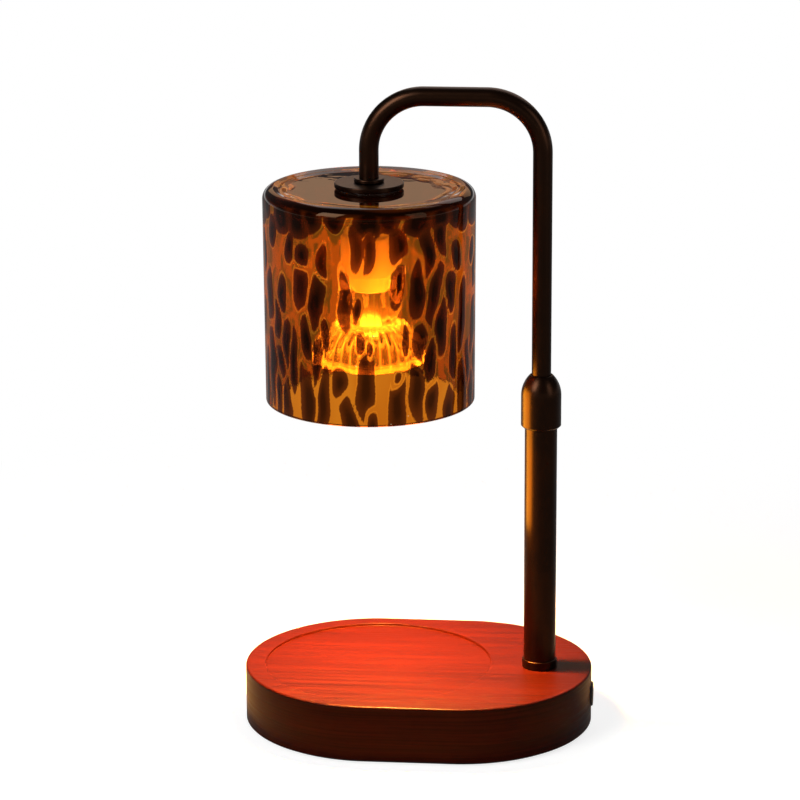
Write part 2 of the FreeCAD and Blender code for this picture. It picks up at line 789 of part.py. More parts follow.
def nipple_nut():
    """Nut that pulls the pole down on the board."""
    bore = dim.nipple_radius + dim.seat_clearance
    hex_nut("nipple_nut", dim.nut_flats, bore, dim.nut_height, pole_x, nut_z)


collet_bore_radius = dim.arm_tube_radius + dim.running_clearance
collet_outer_radius = collet_bore_radius + dim.collet_wall
collet_pocket_radius = collet_outer_radius + dim.seat_clearance
ferrule_bore_radius = dim.arm_tube_radius + dim.free_clearance
collet_foot_z = tube_top_z + dim.ferrule_neck_length - dim.collet_length


def collar_ferrule():
    """Plug in the lower tube's top: a thread outside for the collar and a seat inside for the collet."""
    plug = dim.ferrule_plug_length
    top = plug + dim.ferrule_neck_length
    pocket_floor = top - dim.collet_length
    section = [
        (ferrule_bore_radius, 0),
        (tube_bore_radius - dim.seat_clearance, 0),
        (tube_bore_radius - dim.seat_clearance, plug),
        (dim.ferrule_thread_radius, plug),
        (dim.ferrule_thread_radius, top),
        (collet_pocket_radius, top),
        (collet_pocket_radius, pocket_floor),
        (ferrule_bore_radius, pocket_floor),
    ]
    turned_body("collar_ferrule", section, x=pole_x, z=tube_top_z - plug)


def clamp_collet():
    """Split nylon sleeve that grips the upper tube when the collar is tightened."""
    tip_radius = collet_bore_radius + dim.collet_nose_wall
    straight = dim.collet_length + dim.free_clearance
    tip = straight + dim.collet_nose_length
    section = [
        (collet_bore_radius, 0),
        (collet_outer_radius, 0),
        (collet_outer_radius, straight),
        (tip_radius, tip),
        (collet_bore_radius, tip),
    ]
    body = turned_body("clamp_collet", section, x=pole_x, z=collet_foot_z)
    slit = new_sketch(body, "XY_Plane")
    half_slit = dim.collet_slit / 2
    reach = collet_outer_radius + dim.free_clearance
    draw_chain(slit, [(0, -half_slit), (reach, -half_slit), (reach, half_slit), (0, half_slit)])
    pocket(body, slit, tip, along_normal=True)


def lock_collar():
    """Domed collar that turns on the ferrule's thread and squeezes the collet."""
    mouth = ferrule_bore_radius
    outer_top = mouth + dim.collet_nose_wall
    dome_foot = dim.collar_height - dim.collar_dome_height
    dome_drop = dim.collar_radius - outer_top
    dome_height = dim.collar_dome_height
    dome_arc = (dome_height * dome_height + dome_drop * dome_drop) / (2 * dome_drop)
    skirt_bore = dim.lower_tube_radius + dim.free_clearance
    thread_bore = dim.ferrule_thread_radius + dim.running_clearance
    skirt_top = dim.collar_skirt + dim.free_clearance
    thread_top = dim.collar_skirt + dim.ferrule_neck_length + dim.free_clearance
    cone_foot_radius = collet_outer_radius + dim.free_clearance
    cone_top_radius = collet_bore_radius + dim.collet_nose_wall + dim.free_clearance
    cone_top = thread_top + dim.collet_nose_length + dim.free_clearance
    section = [
        (skirt_bore, 0),
        (dim.collar_radius - dim.collar_foot_chamfer, 0),
        (dim.collar_radius, dim.collar_foot_chamfer),
        (dim.collar_radius, dome_foot),
        (outer_top, dim.collar_height, dim.collar_radius - dome_arc, dome_foot, 1),
        (mouth, dim.collar_height),
        (mouth, cone_top + dim.free_clearance),
        (cone_top_radius, cone_top),
        (cone_foot_radius, thread_top),
        (thread_bore, thread_top),
        (thread_bore, skirt_top),
        (skirt_bore, skirt_top),
    ]
    turned_body("lock_collar", section, x=pole_x, z=collar_foot_z)


# ---------------------------------------------------------------- slider and arm
def guide_bush():
    """Nylon bush that slides in the lower tube and lets the upper tube turn."""
    section = ring_profile(
        dim.arm_tube_radius + dim.running_clearance,
        tube_bore_radius - dim.running_clearance,
        dim.guide_bush_length,
    )
    turned_body("guide_bush", section, x=pole_x, z=guide_bush_z)


def retaining_rings():
    """Two rings on the upper tube that trap the guide bush."""
    inner = dim.arm_tube_radius + dim.seat_clearance
    first_z = guide_bush_z - dim.running_clearance - dim.ring_thickness
    pitch = dim.guide_bush_length + 2 * dim.running_clearance + dim.ring_thickness
    body = new_body("retaining_rings", x=pole_x, z=first_z)
    section = new_sketch(body, "XZ_Plane")
    outer = inner + dim.ring_wall
    for foot in (as_size(0), pitch):
        top = foot + dim.ring_thickness
        draw_chain(section, [(inner, foot), (outer, foot), (outer, top), (inner, top)])
    revolve(body, section)


def arm_path():
    """Centreline of the gooseneck in the arm's own XZ plane, from the tube's foot up and over."""
    rise = arm_z - arm_foot_z
    bend = dim.arm_bend_radius
    return [
        (0, 0),
        (0, rise - bend),
        (-bend, rise, -bend, rise - bend, 1),
        (bend - dim.arm_reach, rise),
        (-dim.arm_reach, rise - bend, bend - dim.arm_reach, rise - bend, 1),
        (-dim.arm_reach, arm_end_z - arm_foot_z),
    ]


def swept_body(label, radii):
    """A round bar or tube along the arm's centreline."""
    body = new_body(label, x=pole_x, z=arm_foot_z)
    path = new_sketch(body, "XZ_Plane")
    draw_chain(path, arm_path(), closed=False)
    section = new_sketch(body, "XY_Plane")
    for radius in radii:
        draw_circle(section, radius)
    document.recompute()
    swept = body.newObject("PartDesign::AdditivePipe", f"{label}_sweep")
    swept.Profile = section
    swept.Spine = (path, [f"Edge{number}" for number in range(1, len(arm_path()))])
    body.Tip = swept


def upper_tube():
    """Gooseneck tube; its far end is threaded and carries the shade and the socket."""
    swept_body("upper_tube", [dim.arm_tube_radius, dim.arm_tube_radius - dim.arm_tube_wall])


def arm_lead():
    """Twin lead inside the upper tube."""
    swept_body("arm_lead", [dim.lead_radius])


# ---------------------------------------------------------------- shade
stem_seat_radius = dim.arm_tube_radius + dim.seat_clearance


def neck_ring():
    """Small ring fixed to the tube, the stop that the top disc is pulled up against."""
    round_size = dim.neck_ring_height / 4
    top = dim.neck_ring_height
    section = [
        (stem_seat_radius, 0),
        (dim.neck_ring_radius, 0),
        (dim.neck_ring_radius, top - round_size),
        (dim.neck_ring_radius - round_size, top, dim.neck_ring_radius - round_size, top - round_size, 1),
        (stem_seat_radius, top),
    ]
    turned_body("neck_ring", section, x=shade_x, z=disc_top_z)


def top_disc():
    """Flat round disc on the glass, with an eased upper edge."""
    round_size = dim.disc_thickness / 3
    top = dim.disc_thickness
    section = [
        (stem_seat_radius, 0),
        (dim.disc_radius, 0),
        (dim.disc_radius, top - round_size),
        (dim.disc_radius - round_size, top, dim.disc_radius - round_size, top - round_size, 1),
        (stem_seat_radius, top),
    ]
    turned_body("top_disc", section, x=shade_x, z=disc_z)


def gasket(label, z):
    """Silicone washer between glass and metal."""
    section = ring_profile(stem_seat_radius, dim.gasket_radius, dim.gasket_thickness)
    turned_body(label, section, x=shade_x, z=z)


def glass_shade():
    """Blown glass cylinder, open below, with a round shoulder and a dished top."""
    top = dim.shade_height
    flat = top - dim.dish_depth
    shoulder = dim.glass_shoulder
    rim_radius = dim.shade_radius - shoulder
    ceiling = flat - dim.glass_roof
    inner_radius = dim.shade_radius - dim.glass_wall
    inner_round = shoulder - dim.glass_wall / 2
    mouth_radius = dim.shade_radius - dim.shade_taper
    lip = dim.glass_wall / 3
    section = [
        (mouth_radius - lip, 0),
        (mouth_radius, lip, mouth_radius - lip, lip, 1),
        (dim.shade_radius, top - shoulder),
        (rim_radius, top, rim_radius, top - shoulder, 1),
        (dim.dish_radius, flat),
        (dim.glass_hole_radius, flat),
        (dim.glass_hole_radius, ceiling),
        (inner_radius - inner_round, ceiling),
        (inner_radius, ceiling - inner_round, inner_radius - inner_round, ceiling - inner_round, -1),
        (mouth_radius - dim.glass_wall, lip),
        (mouth_radius - dim.glass_wall + lip, 0, mouth_radius - dim.glass_wall + lip, lip, 1),
    ]
    turned_body("glass_shade", section, x=shade_x, z=shade_mouth_z)


def clamp_plate():
    """Steel plate that presses the glass up against the disc."""
    section = ring_profile(stem_seat_radius, dim.disc_radius, dim.clamp_plate_thickness)
    turned_body("clamp_plate", section, x=shade_x, z=clamp_plate_z)


def shade_nut():
    """Nut that holds disc, glass and plate together."""
    hex_nut("shade_nut", dim.stem_nut_flats, stem_seat_radius, dim.shade_nut_height, shade_x, shade_nut_z)


# ---------------------------------------------------------------- socket
def socket_cup():
    """Metal cup round the lamp holder, with a round shoulder, open below."""
    outer = dim.cup_radius
    inner = outer - dim.cup_wall
    top = dim.cup_height
    shoulder = dim.cup_shoulder
    inner_round = shoulder - dim.cup_wall
    section = [
        (inner, 0),
        (outer, 0),
        (outer, top - shoulder),
        (outer - shoulder, top, outer - shoulder, top - shoulder, 1),
        (stem_seat_radius, top),
        (stem_seat_radius, top - dim.cup_wall),
        (outer - shoulder, top - dim.cup_wall),
        (inner, top - shoulder, inner - inner_round, top - shoulder, -1),
    ]
    turned_body("socket_cup", section, x=shade_x, z=cup_z)


def holder_bracket():
    """Plate inside the cup's top that the lamp holder is screwed to."""
    body = turned_body(
        "holder_bracket",
        ring_profile(stem_seat_radius, dim.bracket_radius, dim.bracket_thickness),
        x=shade_x,
        z=bracket_z,
    )
    hole = round_pocket(
        body,
        dim.holder_screw_radius + dim.seat_clearance / 2,
        dim.bracket_thickness,
        y=dim.holder_screw_spread,
        along_normal=True,
    )
    copies_round(body, hole, 2)


def socket_nut():
    """Nut that holds cup and bracket on the tube's end."""
    hex_nut("socket_nut", dim.stem_nut_flats, stem_seat_radius, dim.socket_nut_height, shade_x, socket_nut_z)


def slot_outline(half_width, first_angle, last_angle):
    """An arc slot about the holder's axis, through the pins' circle."""
    inner = dim.pin_spread - half_width
    outer = dim.pin_spread + half_width
    return [
        (outer * cosine(first_angle), outer * sine(first_angle)),
        (outer * cosine(last_angle), outer * sine(last_angle), 0, 0, 1),
        (inner * cosine(last_angle), inner * sine(last_angle)),
        (inner * cosine(first_angle), inner * sine(first_angle), 0, 0, -1),
    ]


# The slots let the pins' heads turn from rest to the twist angle, with room at both ends.
slot_half_width = dim.pin_head_radius + dim.free_clearance


def lamp_holder():
    """Ceramic holder with two arc slots that the bulb's pins turn in."""
    radius = dim.holder_radius
    top = dim.holder_height
    chamfer = dim.holder_chamfer
    nut_pocket_radius = dim.stem_nut_flats / (2 * cosine(30)) + dim.free_clearance
    nut_pocket_floor = top - dim.socket_nut_height - dim.free_clearance
    section = [
        (0, 0),
        (radius, 0),
        (radius, top - chamfer),
        (radius - chamfer, top),
        (nut_pocket_radius, top),
        (nut_pocket_radius, nut_pocket_floor),
        (0, nut_pocket_floor),
    ]
    body = turned_body("lamp_holder", section, x=shade_x, z=holder_z)
    slot = new_sketch(body, "XY_Plane")
    last_angle = dim.slot_margin_angle + dim.twist_angle
    draw_chain(slot, slot_outline(slot_half_width, -dim.slot_margin_angle, last_angle))
    slot_cut = pocket(body, slot, dim.slot_depth, along_normal=True)
    copies_round(body, slot_cut, 2)
    spread = dim.holder_screw_spread
    through = round_pocket(
        body, dim.holder_screw_radius + dim.seat_clearance, dim.holder_height, y=spread, along_normal=True
    )
    copies_round(body, through, 2)
    recess = round_pocket(
        body,
        dim.holder_screw_head_radius + dim.seat_clearance,
        dim.holder_screw_head_height + dim.free_clearance,
        y=spread,
        along_normal=True,
    )
    copies_round(body, recess, 2)


def holder_screws():
    """Two screws that hold the lamp holder to its bracket, heads down."""
    head_foot = dim.free_clearance
    head_top = head_foot + dim.holder_screw_head_height
    tip = dim.holder_height + dim.bracket_thickness
    section = [
        (0, head_foot),
        (dim.holder_screw_head_radius, head_foot),
        (dim.holder_screw_head_radius, head_top),
        (dim.holder_screw_radius, head_top),
        (dim.holder_screw_radius, tip),
        (0, tip),
    ]
    body = turned_body("holder_screws", section, x=shade_x, z=holder_z, lift=-dim.holder_screw_spread)
    copies_round(body, body.Tip, 2)


def socket_contacts():
    """Two sprung contacts at the ends of the pin slots."""
    body = new_body("socket_contacts", x=shade_x, z=contact_z)
    outline = new_sketch(body, "XY_Plane")
    half_width = slot_half_width - dim.seat_clearance
    margin_angle = dim.slot_margin_angle - dim.contact_inset_angle
    draw_chain(outline, slot_outline(half_width, -margin_angle, margin_angle + dim.twist_angle))
    raised = pad(body, outline, dim.contact_thickness)
    copies_round(body, raised, 2)


# ---------------------------------------------------------------- bulb
def bulb_base():
    """Ceramic base of the bulb."""
    radius = dim.bulb_base_radius
    chamfer = dim.bulb_wall / 2
    section = [
        (0, 0),
        (radius, 0),
        (radius, dim.bulb_base_height - chamfer),
        (radius - chamfer, dim.bulb_base_height),
        (0, dim.bulb_base_height),
    ]
    turned_body("bulb_base", section, x=shade_x, z=bulb_base_z)


def bulb_pins():
    """Two headed pins on the bulb's base."""
    neck = dim.pin_neck_length
    tip = neck + dim.pin_head_length
    section = [
        (0, 0),
        (dim.pin_neck_radius, 0),
        (dim.pin_neck_radius, neck),
        (dim.pin_head_radius, neck),
        (dim.pin_head_radius, tip),
        (0, tip),
    ]
    body = turned_body(
        "bulb_pins", section, x=shade_x, z=bulb_base_z + dim.bulb_base_height, shift=dim.pin_spread
    )
    copies_round(body, body.Tip, 2)


capsule_hole_radius = dim.capsule_radius + dim.free_clearance


def bulb_reflector():
    """Glass reflector: a front rim, a bowl that is part of a sphere, and a neck."""
    rim_top = dim.bulb_rim_height
    neck_foot = rim_top + dim.bulb_flare_height
    top = neck_foot + dim.bulb_neck_height
    bowl_radius = dim.bulb_rim_radius - dim.bulb_wall / 2
    drop = bowl_radius - dim.bulb_neck_radius
    flare = dim.bulb_flare_height
    sphere = (flare * flare + drop * drop) / (2 * drop)
    centre = bowl_radius - sphere
    inner_sphere = sphere - dim.bulb_wall
    floor_height = flare - 2 * dim.bulb_wall
    floor_radius = centre + root(inner_sphere * inner_sphere - floor_height * floor_height)
    ledge = dim.lens_sink + dim.lens_thickness
    lens_bore = dim.bulb_rim_radius - dim.bulb_wall
    inner_rim = centre + inner_sphere
    section = [
        (lens_bore, 0),
        (dim.bulb_rim_radius, 0),
        (dim.bulb_rim_radius, rim_top),
        (bowl_radius, rim_top),
        (dim.bulb_neck_radius, neck_foot, centre, rim_top, 1),
        (dim.bulb_neck_radius, top),
        (capsule_hole_radius, top),
        (capsule_hole_radius, rim_top + floor_height),
        (floor_radius, rim_top + floor_height),
        (inner_rim, rim_top, centre, rim_top, -1),
        (inner_rim, ledge),
        (lens_bore, ledge),
    ]
    turned_body("bulb_reflector", section, x=shade_x, z=bulb_face_z)


def bulb_lens():
    """Front glass of the bulb."""
    radius = dim.bulb_rim_radius - dim.bulb_wall - dim.seat_clearance
    section = ring_profile(0, radius, dim.lens_thickness)
    turned_body("bulb_lens", section, x=shade_x, z=bulb_face_z + dim.lens_sink)


capsule_foot_z = bulb_neck_z - dim.capsule_reach


def bulb_capsule():
    """Quartz capsule with a round nose, held in the bulb's neck."""
    outer = dim.capsule_radius
    inner = outer - dim.capsule_wall
    top = bulb_base_z - capsule_foot_z
    section = [
        (outer, top),
        (inner, top),
        (inner, outer),
        (0, dim.capsule_wall, 0, outer, -1),
        (0, 0),
        (outer, outer, 0, outer, 1),
    ]
    turned_body("bulb_capsule", section, x=shade_x, z=capsule_foot_z)


def bulb_filament():
    """Coiled filament across the capsule, on two legs that come down from the bulb's base."""
    coil_z = capsule_foot_z + dim.capsule_radius
    half = dim.filament_length / 2
    coil = part_object(
        "Cylinder",
        "filament_coil",
        {"Radius": dim.filament_radius, "Height": dim.filament_length},
        x=shade_x - half,
        z=coil_z,
        rotation=Rotation(Vector(0, 1, 0), 90),
    )
    legs = [
        part_object(
            "Cylinder",
            "filament_leg",
            {"Radius": dim.filament_leg_radius, "Height": bulb_base_z - coil_z},
            x=shade_x + side * (half - 2 * dim.filament_leg_radius),
            z=coil_z,
        )
        for side in (-1, 1)
    ]
    fused = document.addObject("Part::MultiFuse", "bulb_filament")
    fused.Shapes = [coil] + legs
    fused.Label = "bulb_filament"
    pieces.append(fused)


# ---------------------------------------------------------------- the whole lamp
def build():
    """Make every sub-part."""
    base_board()
    anti_slip_pad()
    bottom_plate()
    plate_screws()
    base_weight()
    cord_bush()
    cord_clamp()
    clamp_screws()
    terminal_block()
    pole_foot_ring()
    lower_tube()
    tube_insert()
    threaded_nipple()
    nipple_washer()
    nipple_nut()
    collar_ferrule()
    clamp_collet()
    lock_collar()
    guide_bush()
    retaining_rings()
    upper_tube()
    arm_lead()
    neck_ring()
    top_disc()
    gasket("top_gasket", glass_flat_z)
    glass_shade()
    gasket("lower_gasket", lower_gasket_z)
    clamp_plate()
    shade_nut()
    socket_cup()
    holder_bracket()
    socket_nut()
    lamp_holder()
    holder_screws()
    socket_contacts()
    bulb_base()
    bulb_pins()
    bulb_reflector()
    bulb_lens()
    bulb_capsule()
    bulb_filament()
    document.recompute()


def check():
    """Stop if any feature failed or any sub-part has no valid solid."""
    for item in document.Objects:
        if "Invalid" in item.State or "Error" in item.State:
            raise RuntimeError(f"{item.Label} did not build: {item.State}")
    for piece in pieces:
        shape = piece.Shape
        if shape.isNull() or not shape.isValid() or not shape.Solids:
            raise RuntimeError(f"{piece.Label} has no valid solid")


def export():
    """Write each sub-part to its own STEP file."""
    os.makedirs("parts", exist_ok=True)
    for piece in pieces:
        piece.Shape.exportStep(os.path.join("parts", f"{piece.Label}.step"))
        solids = len(piece.Shape.Solids)
        print(f"{piece.Label}: {solids} solid(s), {piece.Shape.Volume:.1f} mm3")


build()
check()
export()
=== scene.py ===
"""Candle warmer lamp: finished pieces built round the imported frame, and the stage that shows them.

Lengths are metres in the frame's own axes. +Z is up and +X runs from the candle's seat to the pole.
"""

import json
import math

import bmesh
import bpy
import numpy as np
from bpy.props import FloatProperty, FloatVectorProperty, IntProperty, PointerProperty
from mathutils import Matrix, Vector


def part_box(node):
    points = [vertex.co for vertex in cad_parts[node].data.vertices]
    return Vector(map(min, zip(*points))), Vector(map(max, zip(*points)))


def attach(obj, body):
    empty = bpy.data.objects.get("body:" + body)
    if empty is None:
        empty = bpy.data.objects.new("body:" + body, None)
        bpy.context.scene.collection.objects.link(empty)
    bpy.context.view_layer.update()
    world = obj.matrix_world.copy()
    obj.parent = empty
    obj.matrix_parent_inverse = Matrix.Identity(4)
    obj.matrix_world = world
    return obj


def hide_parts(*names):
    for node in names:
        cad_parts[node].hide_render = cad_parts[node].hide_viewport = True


bl_info = {
    "name": "Candle Warmer Lamp",
    "version": (1, 0, 0),
    "blender": (4, 5, 0),
    "location": "View3D > Sidebar > Lamp",
    "description": "Builds the finished pieces of a candle warmer lamp and the stage that shows them",
    "category": "Add Mesh",
}

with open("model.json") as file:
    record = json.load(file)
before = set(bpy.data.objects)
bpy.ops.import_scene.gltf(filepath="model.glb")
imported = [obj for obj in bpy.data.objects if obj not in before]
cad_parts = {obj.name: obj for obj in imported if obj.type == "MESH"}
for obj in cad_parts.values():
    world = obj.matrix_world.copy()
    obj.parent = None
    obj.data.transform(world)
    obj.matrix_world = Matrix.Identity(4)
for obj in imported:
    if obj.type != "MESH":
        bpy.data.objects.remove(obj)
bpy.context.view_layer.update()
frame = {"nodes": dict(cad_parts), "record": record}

TURN = 2 * math.pi
MM = 0.001


# ---------------------------------------------------------------- sizes and colours
def length(label, size, description):
    """A length property, whose default is given in millimetres."""
    return FloatProperty(
        name=label,
        description=description,
        default=size * MM,
        min=0.0,
        precision=5,
        unit="LENGTH",
        subtype="DISTANCE",
    )


def tint(label, default, description):
    """A colour property."""
    return FloatVectorProperty(
        name=label, description=description, default=default, size=3, min=0.0, max=1.0, subtype="COLOR"
    )


class BoardSizes(bpy.types.PropertyGroup):
    """The wooden board's sizes that its box doesn't give."""

    top_round: length("Top round", 1.0, "Rounding of the top edge")
    foot_chamfer: length("Foot chamfer", 0.6, "Chamfer of the bottom edge")
    seat_radius: length("Seat radius", 53.2, "Radius of the candle's recess")
    seat_round: length("Seat round", 0.4, "Rounding of the recess's upper edge")
    seat_heel: length("Seat heel", 0.3, "Rounding at the foot of the recess's wall")
    rebate_inset: length("Rebate inset", 4.0, "Rebate edge to board edge")
    rebate_depth: length("Rebate depth", 1.5, "Depth of the bottom plate's rebate")
    cavity_inset: length("Cavity inset", 14.0, "Cavity wall to board edge")
    cavity_depth: length("Cavity depth", 15.5, "Cavity above the rebate")
    nipple_hole: length("Nipple hole", 5.1, "Radius of the hole under the pole")
    pilot: length("Pilot hole", 1.45, "Radius of the screws' pilot holes")
    screw_head: length("Screw head", 2.8, "Radius of the screws' heads")
    bush_barrel: length("Bush barrel", 4.4, "Radius of the cord bush's barrel")
    bush_flange: length("Bush flange", 1.3, "Thickness of the cord bush's flange")
    bush_sink: length("Bush sink", 0.4, "Depth of the flange's seat in the board's end")


class MetalSizes(bpy.types.PropertyGroup):
    """Sizes of the pole, the collar, the arm and the cup that their boxes don't give."""

    edge_round: length("Edge round", 0.3, "Rounding of turned edges")
    tube_wall: length("Tube wall", 1.0, "Wall of both tubes")
    seat_gap: length("Seat gap", 0.05, "Gap between round faces that sit in each other")
    collar_dome: length("Collar dome", 9.8, "Height of the collar's round top")
    collar_lip: length("Collar lip", 0.5, "Flat lip round the collar's mouth")
    collar_cone: length("Collar cone", 0.5, "Narrowing of the cone that squeezes the collet")
    collar_chamfer: length("Collar chamfer", 0.9, "Bottom edge of the collar")
    bend_radius: length("Bend radius", 25.3, "Bends of the upper tube at its middle line")
    cup_wall: length("Cup wall", 0.8, "Wall of the socket cup")
    cup_shoulder: length("Cup shoulder", 3.0, "Rounding of the socket cup's top")


class ShadeSizes(bpy.types.PropertyGroup):
    """The glass shade's sizes and its spots."""

    wall: length("Wall", 3.5, "Side of the glass")
    roof: length("Roof", 4.0, "Top of the glass")
    shoulder: length("Shoulder", 5.0, "Rounding of the shoulder")
    taper: length("Taper", 0.5, "How much narrower the glass is at its mouth")
    dish_radius: length("Dish radius", 38.0, "Flat middle of the top")
    dish_depth: length("Dish depth", 1.0, "Flat middle under the rim")
    hole_radius: length("Hole radius", 5.5, "Hole for the upper tube")
    inner_wave: length("Inner wave", 0.05, "Slow waves of the inner wall")
    spot_pitch: length("Spot pitch", 11.4, "Distance between spots round the wall")
    spot_rise: length("Spot rise", 21.0, "Distance between rows of spots")
    vein: length("Vein", 1.0, "Clear glass between two spots")
    seed: IntProperty(name="Spot seed", description="Seed of the spots' places", default=353, min=0)


class BulbSizes(bpy.types.PropertyGroup):
    """The bulb's sizes that its boxes don't give."""

    wall: length("Wall", 1.4, "Wall of the reflector")
    neck_radius: length("Neck radius", 12.5, "Neck of the reflector")
    neck_foot: length("Neck foot", 195.0, "Height of the neck's lower end")
    rim_height: length("Rim height", 3.4, "Front rim of the reflector")
    rib_depth: length("Rib depth", 0.5, "Depth of the reflector's ribs")
    ribs: IntProperty(name="Ribs", description="Ribs round the reflector", default=32, min=3)
    capsule_wall: length("Capsule wall", 0.8, "Wall of the quartz capsule")
    coil_turns: IntProperty(name="Coil turns", description="Turns of the filament", default=9, min=2)
    coil_wire: length("Coil wire", 0.16, "Radius of the filament's wire")
    leg_wire: length("Leg wire", 0.3, "Radius of the filament's legs")


class LampColours(bpy.types.PropertyGroup):
    """Colours of the lamp's finishes."""

    wood_dark: tint("Wood, dark", (0.0045, 0.0008, 0.0004), "Stained wood in its pores")
    wood_middle: tint("Wood, middle", (0.0170, 0.0014, 0.0005), "Stained wood between its pores")
    wood_light: tint("Wood, light", (0.0345, 0.0027, 0.0007), "Stained wood where it is palest")
    metal: tint("Bronze-black", (0.0290, 0.0138, 0.0083), "Satin metal of the pole and the arm")
    glass: tint("Amber", (0.550, 0.155, 0.007), "What the shade's wall lets through")
    spot: tint("Spot", (0.068, 0.013, 0.001), "What the shade's wall lets through in a spot")
    # Also the colour of the painted glow and painted highlights of the bulb's glass pieces.
    glow: tint("Glow", (1.0, 0.62, 0.30), "Light of the filament")
    beam: tint("Beam", (1.0, 0.42, 0.07), "Light that falls on the board")
    # Painted glow of the shade's amber and of its spots, which stands in for the bulb's light scattered in
    # the glass.
    painted_amber_glow: tint("Lit amber", (1.0, 0.36, 0.020), "Light that the lit glass gives off")
    painted_spot_glow: tint("Lit spot", (1.0, 0.16, 0.015), "Light that a lit spot gives off")


# ---------------------------------------------------------------- places
# Clearance of faces that stand free of each other, and of faces that run on each other.
CLEAR, RUNNING = 0.3 * MM, 0.08 * MM


def box_of(node):
    """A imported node's lowest and highest corner as arrays."""
    low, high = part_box(node)
    return np.array(low), np.array(high)


def middle_of(node):
    """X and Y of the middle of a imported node's box."""
    low, high = box_of(node)
    return (low + high)[:2] / 2


def half_width(node):
    """Half of a node's width along Y, which is a turned node's radius."""
    low, high = box_of(node)
    return (high[1] - low[1]) / 2


def mount_named(name):
    """One of the record's mounts."""
    return next(mount for mount in frame["record"]["mounts"] if mount["name"] == name)


# ---------------------------------------------------------------- shapes
# Share of its shorter side that a corner's round may use, share of that for its guard, and lengths
# that count as none: between two points, and of a direction.
ROUND_SHARE, GUARD_SHARE, TOUCHING, TINY = 0.46, 0.03, 1e-7, 1e-12
# Angle in degrees from which the edge between two faces is shaded as a sharp one.
CREASE = 35


def unit(vectors):
    """Vectors brought to length 1, and the lengths that they had."""
    size = np.linalg.norm(vectors, axis=-1, keepdims=True)
    return vectors / np.maximum(size, TINY), size


def soft_section(corners, steps=6, guard=0.15 * MM):
    """A closed section with its corners rounded.

    A corner is (out, up, round). The round's arc touches both sides, so its ends lie round / tan(half
    the corner's angle) from the corner. Its points turn evenly about the arc's centre, and one more
    point stands a guard's length beyond each end, which keeps the shading of the flats plain.
    """
    corners = np.array(corners, float)
    point, radius = corners[:, :2], corners[:, 2:]
    back, back_length = unit(np.roll(point, 1, 0) - point)
    ahead, ahead_length = unit(np.roll(point, -1, 0) - point)
    half = np.arccos(np.clip((back * ahead).sum(1, keepdims=True), -1, 1)) / 2
    room = ROUND_SHARE * np.minimum(back_length, ahead_length)
    reach = np.minimum(radius / np.tan(half), room)
    centre = point + unit(back + ahead)[0] * reach / np.cos(half)
    start, end = point + back * reach - centre, point + ahead * reach - centre
    sweep = (math.pi - 2 * half)[:, :, None]
    share = np.linspace(0, 1, steps)[None, :, None]
    flat = np.sin(sweep) < TINY
    divisor = np.where(flat, 1, np.sin(sweep))
    first = np.where(flat, 1 - share, np.sin((1 - share) * sweep) / divisor)
    last = np.where(flat, share, np.sin(share * sweep) / divisor)
    arc = centre[:, None] + first * start[:, None] + last * end[:, None]
    beyond = np.where(radius > 0, reach + np.minimum(guard, GUARD_SHARE * room), 0)
    before, after = point + back * beyond, point + ahead * beyond
    points = np.concatenate([before[:, None], arc, after[:, None]], axis=1).reshape(-1, 2)
    return points[np.linalg.norm(points - np.roll(points, 1, 0), axis=1) > TOUCHING]


def arc_points(centre, radius, start, end, count):
    """Points that turn evenly about a centre from one angle to another, both in degrees."""
    angle = np.radians(np.linspace(start, end, count))
    return np.stack([centre[0] + radius * np.cos(angle), centre[1] + radius * np.sin(angle)], axis=1)


def arc_corners(*arc):
    """Points of an arc as corners with no round."""
    return np.pad(arc_points(*arc), ((0, 0), (0, 1)))


def divided(section, longest):
    """A closed section with points added evenly, so that no side is longer than its length."""
    side = np.roll(section, -1, 0) - section
    parts = np.maximum(1, np.ceil(np.linalg.norm(side, axis=1) / longest)).astype(int)
    start = np.repeat(np.cumsum(parts) - parts, parts)
    share = (np.arange(parts.sum()) - start) / np.repeat(parts, parts)
    return np.repeat(section, parts, 0) + share[:, None] * np.repeat(side, parts, 0)


def around(segments):
    """Angles of even steps round a turn, as a column."""
    return np.linspace(0, TURN, segments, endpoint=False)[:, None]


def turned(radius, height, centre, segments=128):
    """A turned form's grid: row i is the section turned by i equal steps about the axis.

    A point is the axis plus its radius times (cosine, sine) of its row's angle, at its own height.
    """
    angle = around(segments)
    radius, height = np.broadcast_arrays(radius, height + 0 * angle)
    return np.stack(
        [centre[0] + radius * np.cos(angle), centre[1] + radius * np.sin(angle), height], axis=-1
    )


def turned_section(corners, centre, segments=128):
    """The grid of a turned form with a softened section."""
    radius, height = soft_section(corners).T
    return turned(radius, height, centre, segments)


def washer_corners(node, bore, foot, head, inside=0.0):
    """Section of a flat ring that fills a node's box, with rounds at its foot, its head and its bore."""
    low, high = box_of(node)
    outer = half_width(node)
    return [(bore, low[2], 0), (outer, low[2], foot), (outer, high[2], head), (bore, high[2], inside)]


def rod(radius, place, start, end, segments=48):
    """A plain upright rod's grid, from one height to another."""
    return turned(np.array([0, radius, radius, 0]), np.array([start, start, end, end]), place, segments)


def lying(grid):
    """An upright turned grid laid along X: its X and Z change places."""
    return grid[..., [2, 1, 0]]


def tube_grid(path, side, lift, radius, segments=48):
    """Rings along a path: a point is its path point plus radius times (cosine side + sine lift)."""
    angle = around(segments)
    radius = np.broadcast_to(radius, len(path))[:, None, None]
    return path[:, None] + radius * (np.cos(angle) * side[:, None] + np.sin(angle) * lift[:, None])


# ---------------------------------------------------------------- meshes
def put_in_scene(name, data):
    """A new object that shows a mesh, a lamp or a camera."""
    made = bpy.data.objects.new(name, data)
    bpy.context.scene.collection.objects.link(made)
    return made


